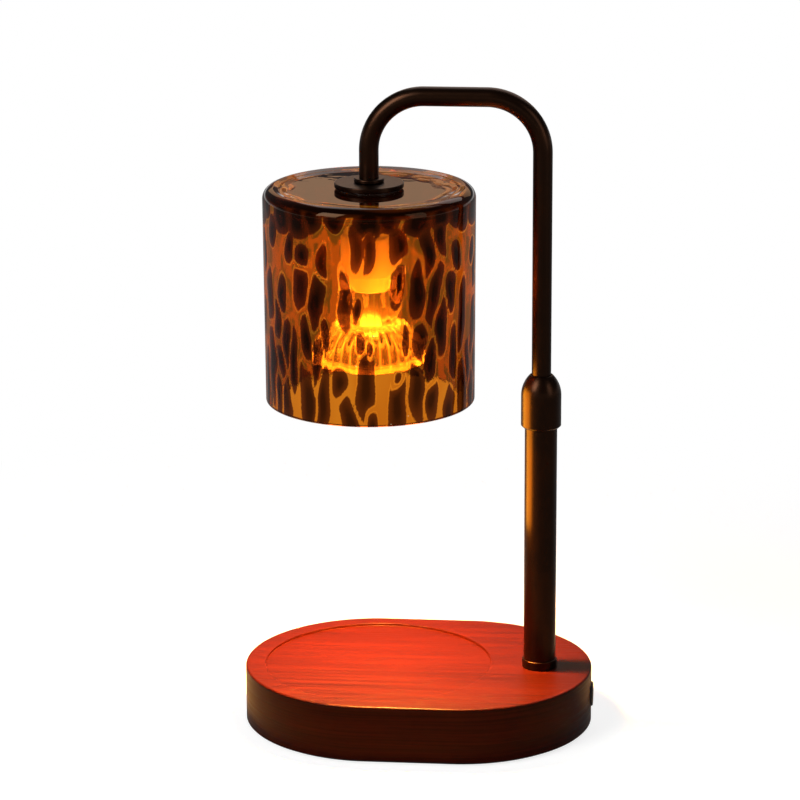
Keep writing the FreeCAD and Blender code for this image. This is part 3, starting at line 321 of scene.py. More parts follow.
def closed_mesh(name, *grids):
    """A mesh of closed surfaces, one for each grid of points.

    A grid wraps both ways, and each of its cells is a four-sided face. Points that fall together, as
    at a pole, are merged, which takes the empty faces away, and all faces are turned outwards.
    """
    points, faces, first = [], [], 0
    for grid in grids:
        index = np.arange(grid.shape[0] * grid.shape[1]).reshape(grid.shape[:2]) + first
        ahead, beside = np.roll(index, -1, 0), np.roll(index, -1, 1)
        faces.append(np.stack([index, ahead, np.roll(ahead, -1, 1), beside], axis=-1).reshape(-1, 4))
        points.append(grid.reshape(-1, 3))
        first += index.size
    mesh = bpy.data.meshes.new(name)
    mesh.from_pydata(np.concatenate(points), [], np.concatenate(faces))
    work = bmesh.new()
    work.from_mesh(mesh)
    bmesh.ops.remove_doubles(work, verts=work.verts, dist=TOUCHING)
    bmesh.ops.recalc_face_normals(work, faces=work.faces)
    work.to_mesh(mesh)
    work.free()
    return mesh


def vertex_array(mesh):
    """A mesh's vertices as one array."""
    flat = np.empty(len(mesh.vertices) * 3)
    mesh.vertices.foreach_get("co", flat)
    return flat.reshape(-1, 3)


def add_attribute(mesh, name, values):
    """Keep a number for each of a mesh's vertices, which a finish can read by its name."""
    kept = mesh.attributes.new(name, "FLOAT", "POINT")
    kept.data.foreach_set("value", values.astype(np.float32))


def add_piece(mesh, body, node, slot, crease=CREASE, finish=None):
    """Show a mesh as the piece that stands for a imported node, riding on its body and finished as its
    material slot says, unless another finish is named."""
    mesh.shade_smooth()
    mesh.set_sharp_from_angle(angle=math.radians(crease))
    mesh.materials.append(finish_named(finish or slot))
    piece = put_in_scene(mesh.name, mesh)
    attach(piece, body)
    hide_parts(node)
    return piece


def add_turned(name, body, node, slot, corners, axis, segments=128, **looks):
    """Show a softened section, turned about an axis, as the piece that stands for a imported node."""
    return add_piece(closed_mesh(name, turned_section(corners, axis, segments)), body, node, slot, **looks)


def drill(piece, holes):
    """Cut closed shapes out of a piece and keep the result as its mesh."""
    tool = put_in_scene("drill", closed_mesh("drill", *holes))
    cut = piece.modifiers.new("holes", "BOOLEAN")
    cut.object = tool
    cut.operation = "DIFFERENCE"
    cut.solver = "EXACT"
    depsgraph = bpy.context.evaluated_depsgraph_get()
    drilled = bpy.data.meshes.new_from_object(piece.evaluated_get(depsgraph))
    piece.modifiers.clear()
    whole, name = piece.data, piece.data.name
    piece.data = drilled
    bpy.data.meshes.remove(whole)
    drilled.name = name
    bpy.data.objects.remove(tool)


# ---------------------------------------------------------------- finishes
# Range that most of a noise's values lie in.
NOISE = (0.3, 0.7)


class Nodes:
    """Steps that build a node tree. The first one gives the node that it adds, and the others an output."""

    def __init__(self, tree):
        self.tree = tree

    def add(self, kind, inputs=None, **settings):
        """A new node with its settings made and its inputs set or linked."""
        made = self.tree.nodes.new(kind)
        for key, value in settings.items():
            setattr(made, key, value)
        for key, value in (inputs or {}).items():
            self.feed(made.inputs[key], value)
        return made

    def feed(self, socket, value):
        """Link a socket to another, or set it. A colour is given without its alpha, which is 1."""
        if isinstance(value, bpy.types.NodeSocket):
            self.tree.links.new(value, socket)
        else:
            socket.default_value = (*value, 1.0) if socket.type == "RGBA" else value

    def ray(self, kind):
        """1 for one kind of ray, and 0 for others."""
        return self.add("ShaderNodeLightPath").outputs[f"Is {kind} Ray"]

    def upward(self, vector):
        """A vector's part along Z."""
        return self.add("ShaderNodeSeparateXYZ", {"Vector": vector}).outputs["Z"]

    def spread(self, value, source, target=(0.0, 1.0)):
        """A value's range stretched or shrunk to another, and held inside it."""
        ends = zip(("From Min", "From Max", "To Min", "To Max"), (*source, *target))
        return self.add("ShaderNodeMapRange", {"Value": value, **dict(ends)}).outputs[0]

    def sums(self, operation, first, *others):
        """One kind of arithmetic, from the first value through the others."""
        for other in others:
            first = self.add("ShaderNodeMath", {0: first, 1: other}, operation=operation).outputs[0]
        return first

    def times(self, *values):
        """Values multiplied."""
        return self.sums("MULTIPLY", *values)

    def most(self, *values):
        """The highest of some values."""
        return self.sums("MAXIMUM", *values)

    def size(self, value):
        """A value without its sign."""
        return self.sums("ABSOLUTE", value, 0.0)

    def mixed(self, share, first, second):
        """Two colours mixed by a share."""
        return self.add("ShaderNodeMix", {0: share, 6: first, 7: second}, data_type="RGBA").outputs[2]


class Finish(Nodes):
    """A procedural material in the making: a Principled shader and the patterns that drive it."""

    def __init__(self, name):
        self.material = bpy.data.materials.new(name)
        self.material.use_nodes = True
        super().__init__(self.material.node_tree)
        self.shader = self.tree.nodes["Principled BSDF"]
        self.place = self.add("ShaderNodeTexCoord").outputs["Object"]

    def set(self, **values):
        """Set or link the shader's own sockets, whose names are written with underscores."""
        for key, value in values.items():
            self.feed(self.shader.inputs[key.replace("_", " ")], value)

    def attribute(self, name):
        """One of the piece's own attributes."""
        return self.add("ShaderNodeAttribute", attribute_name=name).outputs["Fac"]

    def facing(self):
        """How far a face looks up: 1 up, 0 sideways and -1 down."""
        return self.upward(self.add("ShaderNodeTexCoord").outputs["Normal"])

    def noise_of(self, vector, scale, detail, distortion):
        """Noise of a vector."""
        inputs = {"Vector": vector, "Scale": scale, "Detail": detail, "Distortion": distortion}
        return self.add("ShaderNodeTexNoise", inputs).outputs[0]

    def noise(self, scale, stretch=(1, 1, 1), detail=2.0, distortion=0.0):
        """Noise on the piece's own coordinates, stretched along its axes."""
        mapped = self.add("ShaderNodeMapping", {"Vector": self.place, "Scale": stretch})
        return self.noise_of(mapped.outputs["Vector"], scale, detail, distortion)

    def grain(self, along, across, detail=3.0, distortion=0.0):
        """Noise drawn out along the board: along X on its flats, and round its outline on its sides."""
        beside = self.spread(self.size(self.facing()), (0.3, 0.7), (along, across))
        stretch = self.add("ShaderNodeCombineXYZ", {"X": along, "Y": beside, "Z": across}).outputs[0]
        drawn = self.add("ShaderNodeVectorMath", {0: self.place, 1: stretch}, operation="MULTIPLY")
        return self.noise_of(drawn.outputs[0], 1.0, detail, distortion)

    def cells(self, scale):
        """Distance to the nearest of scattered points, and that point's own random number."""
        made = self.add("ShaderNodeTexVoronoi", {"Vector": self.place, "Scale": scale})
        number = self.add("ShaderNodeSeparateColor", {"Color": made.outputs["Color"]}).outputs[0]
        return made.outputs["Distance"], number

    def bump(self, height, distance):
        """Relief of a height between 0 and 1."""
        self.set(Normal=self.add("ShaderNodeBump", {"Height": height, "Distance": distance}).outputs[0])

    def glow(self, colour, strength):
        """Light of the shader's own."""
        self.set(Emission_Color=colour, Emission_Strength=strength)

    def blend(self, share, other):
        """Show the shader mixed with another by a share."""
        mix = self.add("ShaderNodeMixShader", {0: share, 1: self.shader.outputs[0], 2: other.outputs[0]})
        self.feed(self.tree.nodes["Material Output"].inputs["Surface"], mix.outputs[0])

    def let_lamps_through(self, colour):
        """Give lamps a clear, tinted way through the glass, so that it throws a tinted shadow."""
        self.blend(self.ray("Shadow"), self.add("ShaderNodeBsdfTransparent", {"Color": colour}))


def shaded(colour, *shares):
    """A colour with its red, green and blue each taken by a share."""
    return tuple(part * share for part, share in zip(colour, shares))


def grained_finish(name, colour, other, roughness, metallic, grain, relief):
    """Two close colours mottled by noise, which also drives the gloss and a fine relief."""
    finish = Finish(name)
    mottle = finish.noise(grain, detail=5.0)
    clouds = finish.noise(grain / 9)
    finish.set(
        Base_Color=finish.mixed(finish.spread(finish.sums("ADD", mottle, clouds), (0.7, 1.3)), colour, other),
        Roughness=finish.spread(mottle, NOISE, (roughness - 0.06, roughness + 0.08)),
        Metallic=metallic,
    )
    finish.bump(mottle, relief)


def wood_finish(name, colours):
    """Stained, varnished wood: long fibres and short dark pores, drawn out along the board."""
    finish = Finish(name)
    figure = finish.grain(along=4, across=30)
    fibre = finish.grain(along=14, across=1100, detail=4.0, distortion=0.1)
    pore, deep = finish.grain(along=70, across=2300, detail=2.0), (0.60, 0.72)
    lightness = finish.sums("ADD", finish.spread(figure, (0.25, 0.75), (-0.06, 0.06)), fibre)
    body = finish.mixed(finish.spread(lightness, (0.35, 0.85)), colours.wood_middle, colours.wood_light)
    shadow = finish.spread(lightness, (0.22, 0.48), (0.6, 0.0))
    dark = finish.most(finish.spread(pore, deep, (0.0, 0.75)), shadow)
    finish.set(
        Base_Color=finish.mixed(dark, body, colours.wood_dark),
        Roughness=finish.spread(fibre, NOISE, (0.30, 0.46)),
        Coat_Weight=0.03,
        Coat_Roughness=0.18,
        Specular_IOR_Level=0.08,
        Specular_Tint=(1.0, 0.60, 0.42),
    )
    finish.bump(finish.sums("SUBTRACT", fibre, finish.spread(pore, deep, (0.0, 0.8))), 0.05 * MM)


def bronze_black_finish(name, colours):
    """Satin bronze-black metal with a fine tooth and faint brown clouds."""
    finish = Finish(name)
    clouds = finish.spread(finish.noise(55.0, detail=3.0), (0.35, 0.65))
    tooth = finish.noise(5200.0)
    finish.set(
        Base_Color=finish.mixed(clouds, colours.metal, shaded(colours.metal, 1.35, 1.15, 0.95)),
        Metallic=1.0,
        Roughness=finish.spread(tooth, NOISE, (0.27, 0.37)),
    )
    finish.bump(tooth, 0.004 * MM)


# The shade's glass by the distance from a spot's edge, which is below zero inside the spot: how far
# the edge wanders, where amber turns to brown and where a spot is darkest.
EDGE_WANDER, EDGE_BLUR, SPOT_CORE = 0.18 * MM, (0.12 * MM, -0.22 * MM), (-0.4 * MM, -3.0 * MM)
# The painted line of light round a spot, a painted glint on its edge: its middle, and the distances from it
# over which it fades in.
PAINTED_LINE_MIDDLE, PAINTED_LINE_FADE = 0.32 * MM, (0.24 * MM, 0.06 * MM)
# Painted glow, which stands in for the bulb's light scattered in the glass: given off by a spot near its
# edge, and by the amber between two heights.
SPOT_EDGE_PAINTED_GLOW = (-2.6 * MM, -0.3 * MM), (0.003, 0.042)
AMBER_HEIGHT_PAINTED_GLOW = (0.160, 0.200), (0.04, 0.11)
# Relief of the glass: how far a spot stands out, and how it fades on the shoulder by height.
SPOT_SWELL, SHOULDER_FADE, GLASS_RELIEF = (1.2 * MM, -1.6 * MM), ((0.2535, 0.2505), (0.15, 1.0)), 0.16 * MM


def amber_glass_finish(name, colours):
    """Amber glass with dark brown spots and a few small bubbles. The colour lies in its outer skin.

    Two attributes of the piece drive it: the distance from the spots' edges in metres, and 1 on the
    clear inner skin. The amber has a painted glow, stronger higher up and strongest in a painted line of
    light round each spot, which stands in for the bulb's light scattered in the glass.
    """
    finish = Finish(name)
    inner = finish.attribute("inner")
    ripple = finish.spread(finish.noise(900.0), (0.2, 0.8), (-EDGE_WANDER, EDGE_WANDER))
    edge = finish.sums("ADD", finish.attribute("spot"), ripple)
    inside = finish.spread(edge, EDGE_BLUR)
    swirl = finish.noise(1.0, (55, 55, 24), 3.0, 0.5)
    deep_glass, deep_spot = shaded(colours.glass, 0.88, 0.76, 0.60), shaded(colours.spot, 0.45, 0.45, 0.45)
    amber = finish.mixed(finish.spread(swirl, (0.35, 0.65)), colours.glass, deep_glass)
    brown = finish.mixed(finish.spread(edge, SPOT_CORE), colours.spot, deep_spot)
    distance, number = finish.cells(260.0)
    bubble = finish.times(finish.spread(distance, (0.10, 0.05)), finish.spread(number, (0.90, 0.93)))
    body = finish.mixed(finish.times(bubble, 0.6), finish.mixed(inside, amber, brown), (0.95, 0.80, 0.45))
    passed = finish.mixed(inner, body, (1.0, 1.0, 1.0))

    # Painted glow: the amber glows more higher up and most in a thin painted line of light round each spot,
    # and a spot glows a little near its edge, in place of the bulb's light scattered in the glass.
    height = finish.upward(finish.place)
    off_painted_line = finish.size(finish.sums("SUBTRACT", edge, PAINTED_LINE_MIDDLE))
    line = finish.times(finish.spread(off_painted_line, PAINTED_LINE_FADE), finish.spread(swirl, (0.42, 0.62), (0.0, 1.9)))
    lit = finish.times(finish.spread(height, *AMBER_HEIGHT_PAINTED_GLOW), finish.sums("ADD", line, 1.0))
    lit = finish.times(finish.sums("SUBTRACT", 1.0, inside), lit)
    lit = finish.sums("ADD", lit, finish.times(inside, finish.spread(edge, *SPOT_EDGE_PAINTED_GLOW)))
    finish.set(
        Base_Color=finish.add("ShaderNodeGamma", {"Color": passed, "Gamma": 2.0}).outputs[0],
        Roughness=0.0,
        IOR=1.4,
        Transmission_Weight=1.0,
        Specular_Tint=(0.50, 0.28, 0.15),
    )
    colour = finish.mixed(inside, colours.painted_amber_glow, colours.painted_spot_glow)
    finish.glow(colour, finish.times(finish.sums("SUBTRACT", 1.0, inner), lit))
    finish.material.cycles.emission_sampling = "NONE"
    relief = finish.sums("ADD", finish.spread(edge, SPOT_SWELL), finish.noise(1.0, (75, 75, 38)), bubble)
    finish.bump(finish.times(relief, finish.spread(height, *SHOULDER_FADE)), GLASS_RELIEF)
    finish.let_lamps_through(passed)


def clear_glass(name, tints, waves=300.0, index=1.47, relief=0.05 * MM):
    """Clear glass in the making: two pale tints and a few faint waves."""
    finish = Finish(name)
    wave = finish.noise(waves)
    pale = finish.mixed(finish.spread(wave, NOISE), *tints)
    finish.set(Base_Color=pale, Roughness=0.0, IOR=index, Transmission_Weight=1.0)
    finish.bump(wave, relief)
    finish.let_lamps_through(pale)
    return finish


def reflector_painted_shine_finish(name, colours):
    """Pressed glass whose ribs, rim edges and neck have painted highlights, as its own attribute says."""
    finish = clear_glass(name, ((0.985, 0.985, 0.98), (0.95, 0.95, 0.93)), waves=240.0)
    uneven = finish.spread(finish.noise(170.0), (0.35, 0.65), (0.45, 1.2))
    finish.glow(colours.glow, finish.times(finish.attribute("painted_shine"), uneven, PAINTED_SHINE_STRENGTH))


def capsule_painted_glow_finish(name, colours):
    """Quartz with a painted glow round the filament: the glow falls off with the square of a share of
    the way from the filament's place."""
    finish = clear_glass(name, ((0.985, 0.985, 0.98), (0.96, 0.96, 0.95)), index=1.46, relief=0.02 * MM)
    heart = (*middle_of("bulb_filament"), box_of("bulb_filament")[0][2] + CORE_RISE)
    away = finish.add("ShaderNodeVectorMath", {0: finish.place, 1: heart}, operation="DISTANCE")
    near = finish.spread(away.outputs["Value"], CORE_REACH)
    finish.glow(colours.glow, finish.times(near, near, CORE_PAINTED_GLOW))


def front_painted_glow_finish(name, colours):
    """Clear front glass whose lower face has a painted glow, standing in for the bulb's beam."""
    finish = clear_glass(name, ((0.985, 0.98, 0.96), (0.95, 0.94, 0.90)))
    finish.glow(colours.glow, finish.spread(finish.facing(), (-0.6, -0.9), (0.0, FRONT_PAINTED_GLOW)))


def lit_filament_finish(name, colours):
    """Glowing tungsten, a little unevenly hot."""
    finish = Finish(name)
    finish.set(Base_Color=finish.mixed(finish.noise(1400.0), colours.glow, (1.0, 0.8, 0.5)), Roughness=0.5)
    finish.glow(colours.glow, FILAMENT_STRENGTH)


def clear_silicone_finish(name, colours):
    """Milky clear silicone, a little cloudier in places."""
    finish = Finish(name)
    clouds = finish.noise(350.0, detail=3.0)
    finish.set(
        Base_Color=finish.mixed(clouds, (0.62, 0.56, 0.46), (0.80, 0.76, 0.68)),
        Roughness=finish.spread(clouds, NOISE, (0.18, 0.32)),
        IOR=1.41,
        Transmission_Weight=0.92,
    )
    finish.bump(clouds, 0.02 * MM)
    finish.let_lamps_through((0.7, 0.65, 0.55))


# Light of the filament, the front glass's painted glow and the reflector's painted highlights; and the
# capsule's painted glow: its middle above the filament's foot, the distances from there over which it
# grows, and its strength.
FILAMENT_STRENGTH, FRONT_PAINTED_GLOW, PAINTED_SHINE_STRENGTH = 900.0, 1.6, 2.9
CORE_RISE, CORE_REACH, CORE_PAINTED_GLOW = 6 * MM, (8 * MM, 4 * MM), 7.0
# Finish: two colours, roughness, metallic, grain per metre and relief.
GRAINED = {
    "foam_pad": ((0.030, 0.030, 0.030), (0.055, 0.054, 0.052), 0.85, 0.0, 1600.0, 0.25 * MM),
    "zinc_steel": ((0.58, 0.58, 0.56), (0.70, 0.70, 0.67), 0.34, 1.0, 700.0, 0.01 * MM),
    "cast_iron": ((0.070, 0.068, 0.066), (0.120, 0.115, 0.110), 0.62, 0.6, 900.0, 0.20 * MM),
    "black_rubber": ((0.016, 0.016, 0.016), (0.030, 0.029, 0.028), 0.55, 0.0, 2200.0, 0.03 * MM),
    "black_nylon": ((0.022, 0.022, 0.023), (0.040, 0.040, 0.041), 0.42, 0.0, 1800.0, 0.02 * MM),
    "white_nylon": ((0.78, 0.77, 0.71), (0.70, 0.69, 0.63), 0.40, 0.0, 900.0, 0.02 * MM),
    "brass": ((0.72, 0.52, 0.25), (0.60, 0.41, 0.18), 0.28, 1.0, 800.0, 0.01 * MM),
    "lead_sleeve": ((0.74, 0.73, 0.68), (0.64, 0.62, 0.57), 0.50, 0.0, 700.0, 0.03 * MM),
    "white_ceramic": ((0.86, 0.84, 0.79), (0.78, 0.75, 0.69), 0.38, 0.0, 1100.0, 0.03 * MM),
    "white_enamel": ((0.84, 0.81, 0.74), (0.79, 0.755, 0.68), 0.22, 0.0, 420.0, 0.03 * MM),
    "nickel": ((0.74, 0.72, 0.69), (0.66, 0.64, 0.60), 0.22, 1.0, 700.0, 0.01 * MM),
}
MADE_APART = {
    "stained_wood": wood_finish,
    "bronze_black_metal": bronze_black_finish,
    "amber_glass": amber_glass_finish,
    "clear_silicone": clear_silicone_finish,
    "shine_painted_reflector_glass": reflector_painted_shine_finish,
    "glow_painted_capsule_glass": capsule_painted_glow_finish,
    "glow_painted_front_glass": front_painted_glow_finish,
    "lit_filament": lit_filament_finish,
}


def finish_named(slot):
    """The finish of a material slot, made the first time it is asked for."""
    name = f"{slot}_finish"
    if name not in bpy.data.materials:
        if slot in GRAINED:
            grained_finish(name, *GRAINED[slot])
        else:
            MADE_APART[slot](name, bpy.context.scene.lamp_colours)
    return bpy.data.materials[name]


# ---------------------------------------------------------------- base, pole and arm
# Flat strip beside a round that keeps the shading of the flats plain, and how far a cutter stands
# past the face that it cuts.
GUARD, PAST = 0.2 * MM, 1 * MM


def racetrack(low, high, end_steps=97, side_steps=26):
    """Points round a racetrack: the X of each one's half circle's centre, and its angle about it.

    The half circles' centres stand half the gap either side of the middle, and the points of a
    straight side share its angle.
    """
    size = high - low
    half_gap = (size[0] - size[1]) / 2
    quarter, straight = np.linspace(-90, 90, end_steps), np.linspace(1, -1, side_steps)[1:-1]
    lean = np.radians(np.concatenate([quarter, 90 + 0 * straight, quarter + 180, 270 + 0 * straight]))
    middle = half_gap * np.concatenate([1 + 0 * quarter, straight, -1 + 0 * quarter, -straight])
    return middle + (low[0] + high[0]) / 2, lean


def board_grid(sizes):
    """Loops that run from the middle of the recess's floor, over the top and down the side, and end
    in the middle of the cavity's roof.

    A loop of the outline is a racetrack: its centres plus (end radius less inset) times (cosine,
    sine). A loop of the recess lies on a circle, each of its points in line from the recess's centre
    to the outline's point.
    """
    low, high = box_of("base_board")
    end_radius = half_width("base_board")
    middle, lean = racetrack(low, high)
    seat = np.array(mount_named("candle_seat")["pos_m"])
    outline = np.stack([middle + end_radius * np.cos(lean), end_radius * np.sin(lean)], axis=1)
    away = unit(outline - seat[:2])[0]

    top, floor, radius = high[2], seat[2], sizes.seat_radius
    heel, rim = sizes.seat_heel, sizes.seat_round
    recess = np.concatenate(
        [
            [(0, floor), (radius / 2, floor), (radius - heel - GUARD, floor)],
            arc_points((radius - heel, floor + heel), heel, -90, 0, 6),
            arc_points((radius + rim, top - rim), rim, 180, 90, 7),
            [(radius + rim + GUARD, top)],
        ]
    )
    edge, chamfer = sizes.top_round, sizes.foot_chamfer
    rebate, cavity = low[2] + sizes.rebate_depth, low[2] + sizes.rebate_depth + sizes.cavity_depth
    sides = np.concatenate(
        [
            [(edge + GUARD, top)],
            arc_points((edge, top - edge), edge, 90, 180, 9),
            [(0, top - edge - GUARD), (0, low[2] + chamfer + GUARD), (0, low[2] + chamfer)],
            [(chamfer, low[2]), (sizes.rebate_inset, low[2]), (sizes.rebate_inset, rebate)],
            [(sizes.cavity_inset, rebate), (sizes.cavity_inset, cavity)],
        ]
    )
    circles = seat[:2] + recess[:, :1, None] * away[None]
    reach = end_radius - sides[:, :1]
    tracks = np.stack([middle + reach * np.cos(lean), reach * np.sin(lean)], axis=-1)
    flat = np.concatenate([circles, tracks, np.zeros((1, len(lean), 2))])
    height = np.concatenate([recess[:, 1], sides[:, 1], [cavity]])
    return np.concatenate([flat, np.broadcast_to(height[:, None, None], (*flat.shape[:2], 1))], axis=-1)


def board_holes(sizes, gap):
    """Grids of everything that is drilled out of the board: the hole under the pole, the cord bush's
    seat, and the pilot holes of the plate's and the cord clamp's screws."""
    low, high = box_of("base_board")
    rebate, end = low[2] + sizes.rebate_depth, high[0]
    roof = rebate + sizes.cavity_depth
    holes = [rod(sizes.nipple_hole, middle_of("pole_foot_ring"), roof - PAST, high[2] + PAST)]

    bore, seat = sizes.bush_barrel + gap, half_width("cord_bush") + CLEAR
    wall, shelf = end - sizes.cavity_inset - PAST, end - sizes.bush_sink
    radius, reach = [0, bore, bore, seat, seat, 0], [wall, wall, shelf, shelf, end + PAST, end + PAST]
    height = np.mean(box_of("cord_bush"), axis=0)[2]
    holes.append(lying(turned(np.array(radius), np.array(reach), (height, 0.0), 48)))

    tip, spot = box_of("plate_screws")[1][2], box_of("plate_screws")[1][0] - sizes.screw_head
    corners = [(x, y) for x in (-spot, spot) for y in (-spot, spot)]
    holes += [rod(sizes.pilot, corner, rebate - PAST, tip, segments=24) for corner in corners]
    clamp_low, clamp_high = box_of("clamp_screws")
    tip = clamp_high[2] + CLEAR
    for y in (clamp_low[1] + sizes.screw_head, clamp_high[1] - sizes.screw_head):
        holes.append(rod(sizes.pilot, (middle_of("clamp_screws")[0], y), roof - PAST, tip, segments=24))
    return holes


class LAMP_OT_wooden_board(bpy.types.Operator):
    """Racetrack board: loops from the candle's recess over the edge and into the cavity below, drilled"""

    bl_idname = "lamp.wooden_board"
    bl_label = "Wooden Board"

    def execute(self, context):
        sizes = context.scene.board_sizes
        mesh = closed_mesh("wooden_board", board_grid(sizes))
        piece = add_piece(mesh, "base", "base_board", "stained_wood")
        drill(piece, board_holes(sizes, context.scene.metal_sizes.seat_gap))
        piece.data.set_sharp_from_angle(angle=math.radians(CREASE))
        return {"FINISHED"}


class LAMP_OT_pole(bpy.types.Operator):
    """Foot ring, lower tube and lock collar: sections turned about the pole's axis"""

    bl_idname = "lamp.pole"
    bl_label = "Pole"

    def execute(self, context):
        sizes = context.scene.metal_sizes
        axis = middle_of("lower_tube")
        radius, edge = half_width("lower_tube"), sizes.edge_round
        ring = washer_corners("pole_foot_ring", radius + sizes.seat_gap, edge, 1.4 * edge, edge / 2)
        add_turned("foot_ring", "base", "pole_foot_ring", "bronze_black_metal", ring, axis)
        tube = washer_corners("lower_tube", radius - sizes.tube_wall, 0, edge, edge)
        add_turned("pole_tube", "base", "lower_tube", "bronze_black_metal", tube, axis)
        collar = self.collar_corners(sizes)
        add_turned("domed_collar", "collar", "lock_collar", "bronze_black_metal", collar, axis, segments=160)
        return {"FINISHED"}

    def collar_corners(self, sizes):
        """The collar's section. Its dome is an arc that leaves the side straight up: its radius is
        (height squared plus drop squared) over twice the drop."""
        low, high = box_of("lock_collar")
        edge, chamfer = sizes.edge_round, sizes.collar_chamfer
        outer, mouth = half_width("lock_collar"), half_width("upper_tube") + CLEAR
        drop = outer - mouth - sizes.collar_lip
        dome = (sizes.collar_dome**2 + drop**2) / (2 * drop)
        lean = math.degrees(math.asin(sizes.collar_dome / dome))
        arc = arc_corners((outer - dome, high[2] - sizes.collar_dome), dome, 0, lean, 25)
        arc[-1, 2] = edge
        skirt, thread = half_width("lower_tube") + CLEAR, half_width("collar_ferrule") + RUNNING
        cone = half_width("clamp_collet")
        skirt_top, thread_top, cone_top = (
            box_of(node)[1][2] + CLEAR for node in ("lower_tube", "collar_ferrule", "clamp_collet")
        )
        return np.concatenate(
            [
                [(skirt, low[2], 0), (outer - chamfer, low[2], edge), (outer, low[2] + chamfer, edge)],
                arc,
                [(mouth, high[2], edge / 2), (mouth, cone_top + CLEAR, 0)],
                [(cone - sizes.collar_cone, cone_top, 0), (cone + CLEAR, thread_top, 0)],
                [(thread, thread_top, 0), (thread, skirt_top, 0), (skirt, skirt_top, 0)],
            ]
        )


class LAMP_OT_arm(bpy.types.Operator):
    """Upper tube: rings square to a line with two round bends, wall and bore in one closed surface"""

    bl_idname = "lamp.arm"
    bl_label = "Arm"

    def execute(self, context):
        sizes = context.scene.metal_sizes
        low, high = box_of("upper_tube")
        radius, bend = half_width("upper_tube"), sizes.bend_radius
        pole_x, shade_x = high[0] - radius, low[0] + radius
        arm_z, end_z = high[2] - radius, box_of("socket_nut")[0][2]
        corners = [(pole_x, low[2], 0), (pole_x, arm_z, bend), (shade_x, arm_z, bend), (shade_x, end_z, 0)]
        line = soft_section(corners, steps=49, guard=0.0)
        step = unit(np.diff(line, axis=0))[0]
        along = unit(np.concatenate([step[:1], step[:-1] + step[1:], step[-1:]]))[0]
        level = 0 * line[:, 0]
        path = np.stack([line[:, 0], level, line[:, 1]], axis=1)
        side = np.stack([-along[:, 1], level, along[:, 0]], axis=1)
        there_and_back = np.concatenate([np.arange(len(path)), np.arange(len(path))[::-1]])
        wall = np.repeat([radius, radius - sizes.tube_wall], len(path))
        lift = np.broadcast_to([0.0, 1.0, 0.0], (len(wall), 3))
        grid = tube_grid(path[there_and_back], side[there_and_back], lift, wall, segments=64)
        add_piece(closed_mesh("gooseneck_tube", grid), "arm", "upper_tube", "bronze_black_metal")
        return {"FINISHED"}


class LAMP_OT_stem_rings(bpy.types.Operator):
    """Neck ring and top disc: flat rings turned about the shade's axis, with soft edges"""

    bl_idname = "lamp.stem_rings"
    bl_label = "Neck Ring and Disc"

    def execute(self, context):
        sizes = context.scene.metal_sizes
        bore = half_width("upper_tube") + sizes.seat_gap
        for name, node, softness in (("neck_collar", "neck_ring", 1.8), ("stem_disc", "top_disc", 1.6)):
            edge = softness * sizes.edge_round
            ring, axis = washer_corners(node, bore, edge, edge), middle_of(node)
            add_turned(name, "arm", node, "bronze_black_metal", ring, axis, segments=160)
        return {"FINISHED"}


# ---------------------------------------------------------------- shade
# Steps round the shade, the longest side of its section, and the longest on its rim, which reaches
# down past the dish's flat and in to a share of the dish's radius.
SHADE_STEPS, SECTION_STEP, RIM_STEP, RIM_BELOW, RIM_FROM = 300, 1.4 * MM, 0.5 * MM, 1 * MM, 0.7
# The rim inside the shoulder: distance from the side, depth under the top and round of its corners.
RIM_CORNERS = ((7.2 * MM, 0.55 * MM, 0.7 * MM), (8.8 * MM, 0.42 * MM, 0.5 * MM))
DISH_ROUND, HOLE_ROUND = 0.9 * MM, 0.4 * MM
# Slow waves of the inner wall: waves in a turn, and phase for each metre of height. They start above
# the mouth, and take the points that lie this many walls' thickness in from the outside.
WALL_WAVES, WAVES_FROM, WAVES_WITHIN = ((5, 60), (9, -95), (14, 130)), 4 * MM, (0.6, 1.2)
# The shade's own crease, in degrees: its bent inner wall stays smooth.
SHADE_CREASE = 60
# Ripples that bend the pattern: their number, waves in a turn, phase for each metre of run, and how
# far they shift it round the shade and up.
RIPPLES, RIPPLE_TURNS, RIPPLE_RISES, SHIFT_ROUND, SHIFT_UP = 5, (2, 12), (60, 320), 0.7 * MM, 0.9 * MM
# The lattice of spots: rows, run of the lowest, and shares of the rise between rows and of the pitch
# and the rise that a spot is shaken by.
SPOT_ROWS, LOWEST_SPOT, ROW_SHARE, SHAKEN_ROUND, SHAKEN_UP = 6, 4.5 * MM, 0.88, 0.36, 0.34
# A spot: half its width as a share of the pitch, half its height as a share of the rise, how much its
# lean spreads in radians, how much wider it can be at one end, and the share of spots left out.
HALF_WIDTHS, HALF_HEIGHTS, LEAN, TAPER, LEFT_OUT = (0.24, 0.41), (0.42, 0.95), 0.09, 0.3, 0.07
COMMON_HALF_WIDTH = 0.35
# The highest row: its run and what is left of its shaking, and how it and the next row are stretched.
TOP_RUN, TOP_SHAKE, TOP_WIDER, TOP_LOWER, NEXT_LOWER = 94.5 * MM, 0.15, 1.5, 0.5, 0.75
# Side of the shade whose spots are small, half its width, its run, half its rise, and their share of
# the size.
CLEAR_SIDE, CLEAR_REACH, CLEAR_RUN, CLEAR_RISE, CLEAR_SHARE = math.radians(-85), 0.5, 38 * MM, 18 * MM, 0.6
# Runs where the veins have closed, where spots begin to swell, and above which all is dark; and the
# run over which the first two take place, with how far the spots swell.
VEINS_CLOSED, SWELL_FROM, DARK_FROM, FADE, SWELL = 91 * MM, 83 * MM, 96.5 * MM, 8 * MM, 0.6 * MM
